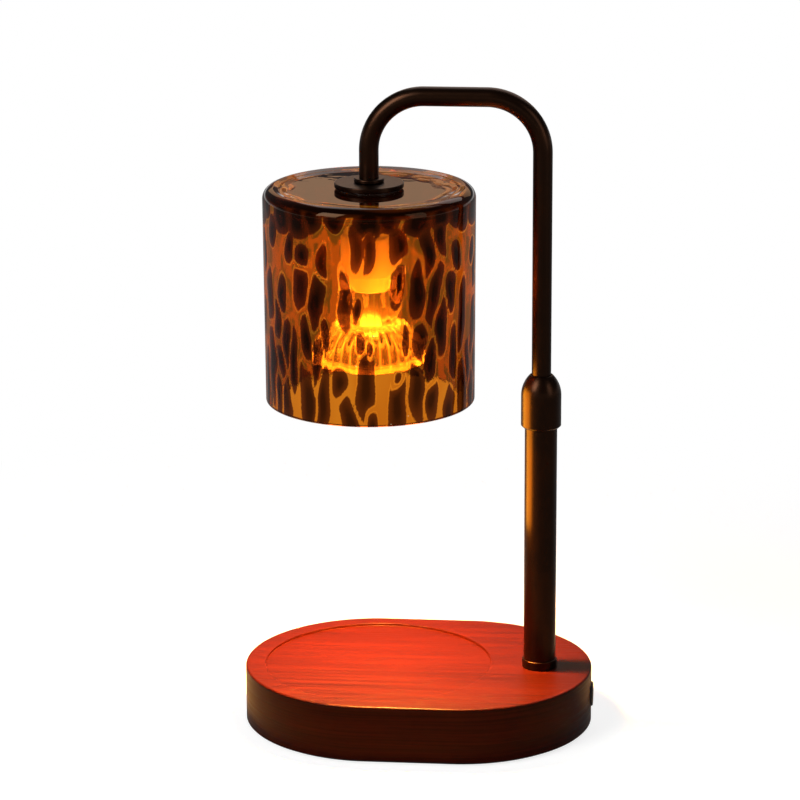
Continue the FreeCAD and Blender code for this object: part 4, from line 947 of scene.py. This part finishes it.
# Clear flecks of the dark top: how many, how deep their middles lie, and ranges in millimetres of
# their runs, half widths and half heights.
FLECKS, FLECK_DEPTH = 60, 1.6 * MM
FLECK_RUNS, FLECK_WIDTHS, FLECK_HEIGHTS = (102.5, 113.5), (4, 14), (0.8, 1.4)
# The first flecks are broader patches on the side away from the viewer: how many, between which
# angles, how much farther in and higher in millimetres, and their share of the width.
PATCHES, PATCH_ANGLES, PATCH_FARTHER, PATCH_HIGHER, PATCH_NARROWER = 18, (0.3, 1.6), 9, 1.2, 0.5


def shade_section(sizes):
    """The shade's section: lip, outer wall, shoulder, dished top, hole, ceiling and inner wall."""
    low, high = box_of("glass_shade")
    radius, top, mouth = half_width("glass_shade"), high[2], low[2]
    wall, shoulder, lip = sizes.wall, sizes.shoulder, sizes.wall / 3
    flat = top - sizes.dish_depth
    ceiling = flat - sizes.roof
    inner, inner_round = radius - wall, shoulder - wall / 2
    outside, inside = radius - sizes.taper, radius - sizes.taper - wall
    corners = np.concatenate(
        [
            arc_corners((outside - lip, mouth + lip), lip, -90, 0, 7),
            arc_corners((radius - shoulder, top - shoulder), shoulder, 0, 90, 15),
            [(radius - inwards, top - depth, edge) for inwards, depth, edge in RIM_CORNERS],
            [(sizes.dish_radius, flat, DISH_ROUND)],
            [(sizes.hole_radius, flat, HOLE_ROUND), (sizes.hole_radius, ceiling, HOLE_ROUND)],
            arc_corners((inner - inner_round, ceiling - inner_round), inner_round, 90, 0, 11),
            arc_corners((inside + lip, mouth + lip), lip, 180, 270, 7),
        ]
    )
    section = soft_section(corners)
    on_rim = (section[:, 1] > flat - RIM_BELOW) & (section[:, 0] > RIM_FROM * sizes.dish_radius)
    return divided(section, np.where(on_rim, RIM_STEP, SECTION_STEP))


def unrolled(points, sizes):
    """Angle, distance from the axis, and run of points on the shade. The run is the height above the
    mouth on the wall, and grows by the way inwards on the shoulder and the top."""
    low, high = box_of("glass_shade")
    away = points[:, :2] - middle_of("glass_shade")
    distance = np.linalg.norm(away, axis=1)
    height = points[:, 2] - low[2]
    straight = high[2] - low[2] - sizes.shoulder
    inwards = np.maximum(half_width("glass_shade") - distance, 0)
    over = np.minimum(height, straight) + np.maximum(height - straight, 0) + inwards
    run = np.where(height > straight - sizes.roof / 2, over, height)
    return np.arctan2(away[:, 1], away[:, 0]), distance, run


def ripples(angle, run, size, generator):
    """A smooth seeded wander: a sum of waves that close on themselves round the shade."""
    round_waves = generator.integers(*RIPPLE_TURNS, RIPPLES)[:, None]
    up_waves = generator.uniform(*RIPPLE_RISES, RIPPLES)[:, None]
    phase = generator.uniform(0, TURN, RIPPLES)[:, None]
    return size * np.sin(round_waves * angle + up_waves * run + phase).sum(0) / math.sqrt(RIPPLES)


def oval_distance(across, up, half_across, half_up, power=2.3):
    """Distance from the middle of a full oval, 1 on its edge: the power root of the summed powers."""
    return (np.abs(across / half_across) ** power + np.abs(up / half_up) ** power) ** (1 / power)


def short_way(angle):
    """An angle's equal between half a turn back and half a turn ahead."""
    return (angle + math.pi) % TURN - math.pi


def shaken_spots(sizes, generator):
    """Angle, run, half width, half height, lean and taper of each dark oval, as rows of an array.

    The ovals stand on a staggered lattice that the generator shakes. The highest row is wide, low and
    level, and closes the pattern under the shoulder.
    """
    columns = round(TURN * half_width("glass_shade") / sizes.spot_pitch)
    row, column = np.divmod(np.arange(SPOT_ROWS * columns), columns)
    count, top_row, next_row = len(row), row == SPOT_ROWS - 1, row == SPOT_ROWS - 2

    def drawn(low, high):
        return generator.uniform(low, high, count)

    angle = (column + 0.5 * (row % 2) + drawn(-SHAKEN_ROUND, SHAKEN_ROUND)) * TURN / columns
    run = LOWEST_SPOT + (row + drawn(-SHAKEN_UP, SHAKEN_UP)) * ROW_SHARE * sizes.spot_rise
    half_across = drawn(*HALF_WIDTHS) * sizes.spot_pitch * np.where(top_row, TOP_WIDER, 1)
    half_up = drawn(*HALF_HEIGHTS) * sizes.spot_rise
    half_up *= np.select([top_row, next_row], [TOP_LOWER, NEXT_LOWER], 1)
    lean, taper = generator.normal(0, LEAN, count), drawn(-TAPER, TAPER)
    run = np.where(top_row, TOP_RUN + TOP_SHAKE * (run - run[top_row].mean()), run)
    kept = (drawn(0, 1) > LEFT_OUT) | top_row
    spots = np.stack([angle, run, half_across, half_up, lean, taper])[:, kept]
    in_front = np.abs(short_way(spots[0] - CLEAR_SIDE)) < CLEAR_REACH
    in_front &= np.abs(spots[1] - CLEAR_RUN) < CLEAR_RISE
    spots[2:4] *= np.where(in_front, CLEAR_SHARE, 1)
    return spots


def fleck_depths(angle, distance, run, generator):
    """How deep each point lies in the clear flecks of the dark top, below zero outside them."""
    fleck_angle = generator.uniform(-math.pi, math.pi, FLECKS)
    fleck_run, fleck_across, fleck_up = (
        generator.uniform(*ends, FLECKS) * MM for ends in (FLECK_RUNS, FLECK_WIDTHS, FLECK_HEIGHTS)
    )
    fleck_angle[:PATCHES] = generator.uniform(*PATCH_ANGLES, PATCHES)
    fleck_run[:PATCHES] += generator.uniform(0, PATCH_FARTHER, PATCHES) * MM
    fleck_across[:PATCHES] *= PATCH_NARROWER
    fleck_up[:PATCHES] += PATCH_HIGHER * MM
    across = short_way(angle[:, None] - fleck_angle) * distance[:, None]
    gap = oval_distance(across, run[:, None] - fleck_run, fleck_across, fleck_up)
    return (1 - gap.min(1)) * FLECK_DEPTH


def spot_edges(points, sizes):
    """How far each point is from the edge of the dark spots, in metres, below zero inside a spot.

    A point is dark inside the nearest oval, unless the next one is so near that a clear vein parts
    the two. The veins close near the shoulder, and the top is dark but for a few clear flecks.
    """
    generator = np.random.default_rng(sizes.seed)
    angle, distance, run = unrolled(points, sizes)
    radius = half_width("glass_shade")
    angle = angle + ripples(angle, run, SHIFT_ROUND, generator) / radius
    run = run + ripples(angle, run, SHIFT_UP, generator)
    spot_angle, spot_run, half_across, half_up, lean, taper = shaken_spots(sizes, generator)
    across = short_way(angle[:, None] - spot_angle) * np.minimum(distance, radius)[:, None]
    up = run[:, None] - spot_run
    across, up = across * np.cos(lean) + up * np.sin(lean), up * np.cos(lean) - across * np.sin(lean)
    half_across = half_across * (1 + taper * np.clip(up / half_up, -1, 1))
    nearest = np.partition(oval_distance(across, up, half_across, half_up), 1, axis=1)
    spot_size = COMMON_HALF_WIDTH * sizes.spot_pitch
    vein = sizes.vein / spot_size * np.clip((VEINS_CLOSED - run) / FADE, 0, 1)
    edges = spot_size * np.maximum(nearest[:, 0] - 1, vein - (nearest[:, 1] - nearest[:, 0]))
    edges -= SWELL * np.clip((run - SWELL_FROM) / FADE, 0, 1)
    return np.maximum(np.minimum(edges, DARK_FROM - run), fleck_depths(angle, distance, run, generator))


class LAMP_OT_glass_shade(bpy.types.Operator):
    """Spotted glass cylinder: its section turned about the shade's axis, with slow waves in its inner wall"""

    bl_idname = "lamp.glass_shade"
    bl_label = "Glass Shade"

    def execute(self, context):
        sizes = context.scene.shade_sizes
        low, high = box_of("glass_shade")
        axis, side = middle_of("glass_shade"), half_width("glass_shade")
        roof = high[2] - sizes.dish_depth - sizes.roof
        radius, height = shade_section(sizes).T
        depth = (side - radius) / sizes.wall
        on_wall = (depth > WAVES_WITHIN[0]) & (depth < WAVES_WITHIN[1])
        on_wall &= (height > low[2] + WAVES_FROM) & (height < roof - sizes.shoulder)
        wave = sum(np.sin(turns * around(SHADE_STEPS) + rise * height) for turns, rise in WALL_WAVES)
        grid = turned(radius + on_wall * wave * sizes.inner_wave, height, axis, SHADE_STEPS)
        mesh = closed_mesh("spotted_shade", grid)
        points = vertex_array(mesh)
        distance = np.linalg.norm(points[:, :2] - axis, axis=1)
        inner_skin = (distance < side - sizes.wall / 2) & (points[:, 2] < roof + sizes.roof / 2)
        add_attribute(mesh, "spot", spot_edges(points, sizes))
        add_attribute(mesh, "inner", inner_skin)
        add_piece(mesh, "arm", "glass_shade", "amber_glass", crease=SHADE_CREASE)
        return {"FINISHED"}


# ---------------------------------------------------------------- lamp holder, bulb and cord bush
class LAMP_OT_socket(bpy.types.Operator):
    """Enamelled socket cup: a thin wall with a round shoulder, turned about the shade's axis"""

    bl_idname = "lamp.socket"
    bl_label = "Socket Cup"

    def execute(self, context):
        sizes = context.scene.metal_sizes
        low, high = box_of("socket_cup")
        outer, shoulder, wall = half_width("socket_cup"), sizes.cup_shoulder, sizes.cup_wall
        bore, top = half_width("upper_tube") + sizes.seat_gap, high[2]
        centre = (outer - shoulder, top - shoulder)
        corners = np.concatenate(
            [
                [(outer - wall, low[2], wall / 3), (outer, low[2], wall / 3)],
                arc_corners(centre, shoulder, 0, 90, 11),
                [(bore, top, 0), (bore, top - wall, 0)],
                arc_corners(centre, shoulder - wall, 90, 0, 9),
            ]
        )
        add_turned("enamelled_cup", "arm", "socket_cup", "white_enamel", corners, middle_of("socket_cup"))
        return {"FINISHED"}


# Rounds of the bulb: its plain edges, the base's head, and the reflector's rim, waist, neck and bore.
PLAIN_ROUND, HEAD_ROUND, RIM_ROUND = 0.3 * MM, 1.2 * MM, 1.1 * MM
WAIST_ROUND, NECK_ROUND, BORE_ROUND = 1.0 * MM, 0.5 * MM, 0.8 * MM
# Ribs: steps for each of them, the heights over which they fade at the neck and rise from the rim,
# the least of them at the rim, and the depth of the rim's scallops as a share.
RIB_STEPS, NECK_FADE, RIM_RISE, LEAST_RIB, SCALLOP = 16, 2 * MM, 1 * MM, 0.3, 0.8
# How near a point lies to the bowl's sphere, or to the rim's side, to count as part of it.
NEAR_BOWL, NEAR_RIM = 0.1 * MM, 0.05 * MM
# Crease of the bulb's glass, in degrees.
BULB_CREASE = 50
# Painted highlight on the ribs: how sharp it is, and the share of the bowl over which it fades at the ends.
RIB_SHARPNESS, RIB_FADE, RIB_END = 8, 0.1, 1.02
# Painted highlights on the edges of the reflector's rim: height of the lower one, how broad they are,
# how far in they reach and how strong they are. The upper one is stronger on the ribs.
FOOT_EDGE, EDGE_BREADTH, EDGE_REACH = 0.4 * MM, 0.5 * MM, 1.2 * MM
EDGE_PAINTED_SHINE, OFF_RIBS, ON_RIBS = 2.2, 0.6, 0.8
# Painted glow at the neck: its strength, and its spread as a share of the bowl's height, squared.
NECK_PAINTED_SHINE, NECK_SPREAD = 1.7, 0.005
# Steps of the filament's wire for each of its turns.
COIL_STEPS = 20
# Light of the bulb: a beam down on the board, and the shade's light on the socket.
BEAM_RADIUS, BEAM_POWER, BEAM_SPREAD, BEAM_GAP = 20 * MM, 5.0, math.radians(130), 0.6 * MM
GLOW_LAMPS, GLOW_START, GLOW_RADIUS = 6, 0.4, 24 * MM
GLOW_HEIGHT, GLOW_SIZE, GLOW_POWER = 205 * MM, 5 * MM, 0.15


class LAMP_OT_bulb(bpy.types.Operator):
    """Twist-lock bulb: ceramic base, ribbed reflector, front glass, quartz capsule and coiled filament"""

    bl_idname = "lamp.bulb"
    bl_label = "Bulb"

    def execute(self, context):
        sizes = context.scene.bulb_sizes
        axis = middle_of("bulb_reflector")
        base = washer_corners("bulb_base", 0, PLAIN_ROUND, HEAD_ROUND)
        add_turned("ceramic_base", "bulb", "bulb_base", "white_ceramic", base, axis)
        self.reflector(sizes, axis)
        front = washer_corners("bulb_lens", 0, PLAIN_ROUND, PLAIN_ROUND)
        add_turned("front_glass", "bulb", "bulb_lens", "clear_glass", front, axis, finish="glow_painted_front_glass")
        self.capsule(sizes, axis)
        self.filament(sizes, axis)
        self.light(context.scene.lamp_colours, axis)
        return {"FINISHED"}

    def reflector(self, sizes, axis):
        """Rim, bowl and neck. The bowl is part of a sphere, whose radius is (height squared plus drop
        squared) over twice the drop. Its ribs and the rim's scallops are a cosine of the angle times
        the number of ribs, taken off the outer radius."""
        low, high = box_of("bulb_reflector")
        rim, wall, neck = half_width("bulb_reflector"), sizes.wall, sizes.neck_radius
        rim_top, neck_foot, top = low[2] + sizes.rim_height, sizes.neck_foot, high[2]
        bowl, flare = rim - wall / 2, neck_foot - rim_top
        drop = bowl - neck
        sphere = (flare**2 + drop**2) / (2 * drop)
        centre, floor = (bowl - sphere, rim_top), flare - 2 * wall
        outer_lean, inner_lean = np.degrees(np.arcsin([flare / sphere, floor / (sphere - wall)]))
        bore, lens_top = half_width("bulb_capsule") + CLEAR, box_of("bulb_lens")[1][2]
        corners = np.concatenate(
            [
                [(rim - wall, low[2], PLAIN_ROUND), (rim, low[2], RIM_ROUND), (rim, rim_top, RIM_ROUND)],
                arc_corners(centre, sphere, 0, outer_lean, 25),
                [(neck, neck_foot + 1.5 * WAIST_ROUND, WAIST_ROUND), (neck, top, NECK_ROUND)],
                [(bore, top, 0), (bore, rim_top + floor, BORE_ROUND)],
                arc_corners(centre, sphere - wall, inner_lean, 0, 21),
                [(bowl - wall, lens_top, 0), (rim - wall, lens_top, 0)],
            ]
        )
        section = soft_section(corners)
        radius, height = section.T
        rib = 0.5 - 0.5 * np.cos(sizes.ribs * around(RIB_STEPS * sizes.ribs))
        off_sphere = np.abs(np.linalg.norm(section - centre, axis=1) - sphere)
        on_bowl = (off_sphere < NEAR_BOWL) & (height > rim_top)
        fade = np.clip((neck_foot - height) / NECK_FADE, 0, 1)
        fade *= np.clip((height - rim_top) / RIM_RISE, LEAST_RIB, 1)
        on_rim = radius > rim - NEAR_RIM
        depth = sizes.rib_depth * np.maximum(on_bowl * fade, on_rim * SCALLOP)
        grid = turned(radius - depth * rib, height, axis, RIB_STEPS * sizes.ribs)
        mesh = closed_mesh("ribbed_reflector", grid)

        # Painted highlights: the ribs, the rim's edges and the neck glow, in place of the bulb's light that
        # they catch.
        points = vertex_array(mesh)
        away = points[:, :2] - axis
        distance, turn = np.linalg.norm(away, axis=1), np.arctan2(away[:, 1], away[:, 0])
        rib = (0.5 - 0.5 * np.cos(sizes.ribs * turn)) ** RIB_SHARPNESS
        up = (points[:, 2] - rim_top) / flare
        skin = np.interp(points[:, 2], [rim_top, neck_foot], [bowl - 2 * wall, neck - wall])
        painted_rib_shine = rib * np.clip(up / RIB_FADE, 0, 1) * np.clip((RIB_END - up) / RIB_FADE, 0, 1)
        edges = (low[2] + FOOT_EDGE, rim_top - CLEAR)
        painted_foot_edge, painted_rim_edge = (np.exp(-(((points[:, 2] - edge) / EDGE_BREADTH) ** 2)) for edge in edges)
        painted_edge_shine = (painted_foot_edge + painted_rim_edge * (OFF_RIBS + ON_RIBS * rib)) * (distance > rim - EDGE_REACH)
        painted_neck_shine = NECK_PAINTED_SHINE * np.exp(-((up - 1.0) ** 2) / NECK_SPREAD)
        painted_shine = (painted_rib_shine + painted_neck_shine) * (distance > skin) + EDGE_PAINTED_SHINE * painted_edge_shine
        add_attribute(mesh, "painted_shine", painted_shine)
        looks = {"crease": BULB_CREASE, "finish": "shine_painted_reflector_glass"}
        add_piece(mesh, "bulb", "bulb_reflector", "clear_glass", **looks)

    def capsule(self, sizes, axis):
        """Quartz tube that ends below in two half spheres, one inside the other."""
        low, high = box_of("bulb_capsule")
        outer, wall = half_width("bulb_capsule"), sizes.capsule_wall
        nose = (0.0, low[2] + outer)
        corners = np.concatenate(
            [
                arc_corners(nose, outer, -90, 0, 17),
                [(outer, high[2], 0.2 * MM), (outer - wall, high[2], 0.2 * MM)],
                arc_corners(nose, outer - wall, 0, -90, 17),
            ]
        )
        looks = {"segments": 64, "crease": BULB_CREASE, "finish": "glow_painted_capsule_glass"}
        add_turned("quartz_capsule", "bulb", "bulb_capsule", "clear_glass", corners, axis, **looks)

    def filament(self, sizes, axis):
        """A helix along X, whose rings stand on its radius and X, and two upright legs."""
        low, high = box_of("bulb_filament")
        coil, wire = (high[1] - low[1]) / 2, sizes.coil_wire
        share = np.linspace(0, 1, COIL_STEPS * sizes.coil_turns + 1)
        angle = share * TURN * sizes.coil_turns
        side = np.stack([0 * angle, np.cos(angle), np.sin(angle)], axis=1)
        x = low[0] + wire + share * (high[0] - low[0] - 2 * wire)
        path = np.stack([x, 0 * x + axis[1], 0 * x + low[2] + coil], axis=1) + (coil - wire) * side
        lift = np.broadcast_to([1.0, 0.0, 0.0], path.shape)
        ends = np.r_[0, np.arange(len(path)), len(path) - 1]
        radius = np.r_[0, np.full(len(path), wire), 0]
        helix = tube_grid(path[ends], side[ends], lift[ends], radius, segments=10)
        leg, span = sizes.leg_wire, (low[0] + 2 * sizes.leg_wire, high[0] - 2 * sizes.leg_wire)
        legs = [rod(leg, (x, axis[1]), low[2] + coil, high[2], segments=16) for x in span]
        mesh = closed_mesh("coiled_filament", helix, *legs)
        add_piece(mesh, "bulb", "bulb_filament", "lit_filament")
        mesh.materials.append(finish_named("nickel"))
        middle = np.empty(len(mesh.polygons) * 3)
        mesh.polygons.foreach_get("center", middle)
        on_leg = middle[2::3] > low[2] + 2 * coil
        mesh.polygons.foreach_set("material_index", on_leg.astype(np.int32))

    def light(self, colours, axis):
        """The bulb's light: a disc that faces down under the front glass, and a ring of small lamps that
        stand for the light which the shade throws back on the socket."""
        beam = bpy.data.lights.new("beam", "AREA")
        beam.shape, beam.size = "DISK", 2 * BEAM_RADIUS
        beam.energy, beam.color, beam.spread = BEAM_POWER, colours.beam, BEAM_SPREAD
        lights = [(beam, (*axis, box_of("bulb_lens")[0][2] - BEAM_GAP))]
        for angle in around(GLOW_LAMPS)[:, 0] + GLOW_START:
            glow = bpy.data.lights.new("glow", "POINT")
            glow.energy, glow.color, glow.shadow_soft_size = GLOW_POWER, colours.glow, GLOW_SIZE
            place = axis + GLOW_RADIUS * np.array([math.cos(angle), math.sin(angle)])
            lights.append((glow, (*place, GLOW_HEIGHT)))
        for light, place in lights:
            lamp = put_in_scene(light.name, light)
            lamp.location = place
            lamp.visible_camera = lamp.visible_transmission = False
            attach(lamp, "bulb")


# Rounds of the cord's bush: at its inner end, under its flange, at its bore's mouth and on its flange.
BARREL_ROUND, SEAT_ROUND, MOUTH_ROUND, FLANGE_ROUND = 0.2 * MM, 0.1 * MM, 0.7 * MM, 0.8 * MM


class LAMP_OT_cord_bush(bpy.types.Operator):
    """Rubber bush of the cord's inlet: barrel and flange turned about a line along X"""

    bl_idname = "lamp.cord_bush"
    bl_label = "Cord Bush"

    def execute(self, context):
        sizes = context.scene.board_sizes
        low, high = box_of("cord_bush")
        barrel, flange = sizes.bush_barrel, half_width("cord_bush")
        bore, seat = mount_named("cord_inlet")["dims"]["r_mm"] * MM, high[0] - sizes.bush_flange
        corners = [
            (bore, low[0], BARREL_ROUND),
            (barrel, low[0], BARREL_ROUND),
            (barrel, seat, 0),
            (flange, seat, SEAT_ROUND),
            (flange, high[0], FLANGE_ROUND),
            (bore, high[0], MOUTH_ROUND),
        ]
        grid = lying(turned_section(corners, ((low[2] + high[2]) / 2, 0.0), segments=96))
        add_piece(closed_mesh("rubber_bush", grid), "base", "cord_bush", "black_rubber")
        return {"FINISHED"}


class LAMP_OT_fittings(bpy.types.Operator):
    """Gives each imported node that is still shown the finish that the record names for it"""

    bl_idname = "lamp.fittings"
    bl_label = "Fittings"

    def execute(self, context):
        for part in frame["record"]["subparts"]:
            fitting = frame["nodes"][part["node"]]
            if fitting.hide_render:
                continue
            finish = finish_named(part["material_slot"])
            if not fitting.material_slots:
                fitting.data.materials.append(finish)
            for slot in fitting.material_slots:
                slot.material = finish
        return {"FINISHED"}


# ---------------------------------------------------------------- stage
CAMERA = {
    "target": (-0.00825, 0.0, 0.1565),
    "distance": 1.649,
    "azimuth": 5.53,
    "elevation": 15.93,
    "roll": -0.25,
    "lens": 160.2,
    "clip_end": 100.0,
}
# Lamp: place, what it points at, width, height, power and colour.
LAMPS = {
    "key_softbox": ((-0.85, -0.95, 1.05), (0, 0, 0.14), 0.60, 0.90, 17.0, (1.0, 0.985, 0.96)),
    "fill_softbox": ((1.15, -0.70, 0.70), (0, 0, 0.14), 0.50, 0.90, 2.6, (0.97, 0.985, 1.0)),
    "back_softbox": ((0.25, 1.10, 1.45), (0, 0, 0.16), 1.60, 1.10, 7.5, (1.0, 1.0, 1.0)),
    "warm_softbox": ((0.05, 1.60, 0.82), (0, 0, 0.25), 1.50, 0.42, 1.50, (1.0, 0.56, 0.30)),
}
# A small lamp beside the pole that shows only in its gloss, as the lit shade does.
SHEEN = ((0.0285, -0.005, 0.128), (0.0572, 0.0, 0.128), 0.026, 0.076, 0.11, (1.0, 0.50, 0.035))
# The floor: radii of its rings, steps round them, how far it lies under the lamp, and the distances
# between which its shadow fades away.
FLOOR_RINGS, FLOOR_STEPS, FLOOR_DROP, FLOOR_FADE = (0.25, 0.5, 1.0, 2.0, 4.0, 8.0), 96, 0.1 * MM, (0.22, 0.48)
# The floor's own brightness, and how much of it a mirror shows.
FLOOR_GLOW, MIRRORED = 0.79, 0.2
# Room light: the slopes between which it falls, and its strength at them.
HORIZON, ROOM_LIGHT = (0.0, 0.10), (1.0, 0.07)


def soft_lamp(name, place, aim, width, height, power, colour):
    """A rectangular softbox that faces a point."""
    light = bpy.data.lights.new(name, "AREA")
    light.shape, light.size, light.size_y = "RECTANGLE", width, height
    light.energy, light.color = power, colour
    lamp = put_in_scene(name, light)
    lamp.location = place
    lamp.rotation_euler = (Vector(aim) - Vector(place)).to_track_quat("-Z", "Y").to_euler()
    return lamp


def floor_finish():
    """Pale floor: most of its brightness is its own, which keeps it white, and the rest is lit, which
    keeps the lamp's shadow. Further out all of it is its own. Rays that see it directly or through
    glass see it so, a mirror shows less, and it throws little light back."""
    finish = Finish("pale_floor")
    mirror, through = finish.times(finish.ray("Glossy"), MIRRORED), finish.ray("Transmission")
    shown = finish.most(finish.ray("Camera"), mirror, through)
    paper = finish.mixed(finish.noise(900.0, detail=3.0), (0.37, 0.37, 0.37), (0.39, 0.39, 0.39))
    bounced = finish.most(finish.ray("Diffuse"), finish.ray("Glossy"))
    finish.set(
        Base_Color=finish.mixed(bounced, paper, (0.10, 0.10, 0.10)),
        Roughness=0.9,
        Specular_IOR_Level=0.0,
    )
    finish.glow((1.0, 1.0, 1.0), finish.times(shown, FLOOR_GLOW))
    middle = finish.add("ShaderNodeVectorMath", {0: finish.place}, operation="LENGTH").outputs["Value"]
    bright = finish.add("ShaderNodeEmission", {"Color": (1, 1, 1), "Strength": shown})
    finish.blend(finish.spread(middle, FLOOR_FADE), bright)
    return finish.material


class LAMP_OT_stage(bpy.types.Operator):
    """Pale floor, soft room light, four softboxes, a small lamp beside the pole and the camera"""

    bl_idname = "lamp.stage"
    bl_label = "Stage"

    def execute(self, context):
        self.floor()
        self.room(context.scene)
        for name, values in LAMPS.items():
            soft_lamp(name, *values)
        sheen = soft_lamp("sheen", *SHEEN)
        sheen.visible_camera = sheen.visible_diffuse = sheen.visible_transmission = False
        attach(sheen, "arm")
        self.camera(context.scene)
        context.scene.view_settings.view_transform = "Standard"
        return {"FINISHED"}

    def floor(self):
        """A flat disc just under the lamp: rings of points at growing distances."""
        angle = around(FLOOR_STEPS)[:, 0]
        radius = np.array(FLOOR_RINGS)[:, None]
        level = 0 * radius * angle - FLOOR_DROP
        rings = np.stack([radius * np.cos(angle), radius * np.sin(angle), level], axis=-1)
        index = np.arange(level.size).reshape(level.shape)
        ahead = np.roll(index, -1, 1)
        quads = np.stack([index[:-1], index[1:], ahead[1:], ahead[:-1]], axis=-1).reshape(-1, 4)
        mesh = bpy.data.meshes.new("floor")
        mesh.from_pydata(rings.reshape(-1, 3), [], [*quads.tolist(), index[0].tolist()])
        mesh.materials.append(floor_finish())
        floor = put_in_scene("floor", mesh)

    def room(self, scene):
        """Room light that is white at and below the horizon and dim overhead. The camera sees it as
        plain white."""
        world = bpy.data.worlds.new("room")
        world.use_nodes = True
        nodes = Nodes(world.node_tree)
        slope = nodes.upward(nodes.add("ShaderNodeTexCoord").outputs["Generated"])
        light = nodes.most(nodes.ray("Camera"), nodes.spread(slope, HORIZON, ROOM_LIGHT))
        background = nodes.tree.nodes["Background"]
        nodes.feed(background.inputs["Color"], (1.0, 1.0, 1.0))
        nodes.feed(background.inputs["Strength"], light)
        scene.world = world

    def camera(self, scene):
        """Camera on a line from its target at an azimuth and an elevation, turned by its roll."""
        yaw, pitch, roll = (math.radians(CAMERA[key]) for key in ("azimuth", "elevation", "roll"))
        ahead = Vector((-math.sin(yaw) * math.cos(pitch), math.cos(yaw) * math.cos(pitch), -math.sin(pitch)))
        right = Vector((math.cos(yaw), math.sin(yaw), 0.0))
        above = right.cross(ahead)
        axes = (
            math.cos(roll) * right + math.sin(roll) * above,
            math.cos(roll) * above - math.sin(roll) * right,
            -ahead,
        )
        data = bpy.data.cameras.new("camera")
        data.lens, data.clip_end = CAMERA["lens"], CAMERA["clip_end"]
        scene.camera = put_in_scene("camera", data)
        place = Vector(CAMERA["target"]) - CAMERA["distance"] * ahead
        scene.camera.matrix_world = Matrix.Translation(place) @ Matrix(axes).transposed().to_4x4()


# ---------------------------------------------------------------- add-on
PIECES = (
    LAMP_OT_wooden_board,
    LAMP_OT_pole,
    LAMP_OT_arm,
    LAMP_OT_stem_rings,
    LAMP_OT_glass_shade,
    LAMP_OT_socket,
    LAMP_OT_bulb,
    LAMP_OT_cord_bush,
    LAMP_OT_fittings,
    LAMP_OT_stage,
)
GROUPS = {
    "board_sizes": BoardSizes,
    "metal_sizes": MetalSizes,
    "shade_sizes": ShadeSizes,
    "bulb_sizes": BulbSizes,
    "lamp_colours": LampColours,
}


class LAMP_PT_pieces(bpy.types.Panel):
    """Lists the lamp's pieces, sizes and colours"""

    bl_idname = "LAMP_PT_pieces"
    bl_label = "Candle Warmer Lamp"
    bl_space_type = "VIEW_3D"
    bl_region_type = "UI"
    bl_category = "Lamp"

    def draw(self, context):
        for piece in PIECES:
            self.layout.operator(piece.bl_idname)
        for name, group in GROUPS.items():
            box = self.layout.box()
            for key in group.__annotations__:
                box.prop(getattr(context.scene, name), key)


CLASSES = (*GROUPS.values(), *PIECES, LAMP_PT_pieces)


def register():
    """Make the operators, the panel and the scene's size and colour groups known."""
    for kind in CLASSES:
        bpy.utils.register_class(kind)
    for name, group in GROUPS.items():
        setattr(bpy.types.Scene, name, PointerProperty(type=group))


def unregister():
    """Take away what register made known."""
    for name in GROUPS:
        delattr(bpy.types.Scene, name)
    for kind in reversed(CLASSES):
        bpy.utils.unregister_class(kind)


def main():
    """Build every piece and the stage."""
    register()
    for piece in PIECES:
        group, name = piece.bl_idname.split(".")
        getattr(getattr(bpy.ops, group), name)()


if __name__ == "__main__":
    main()
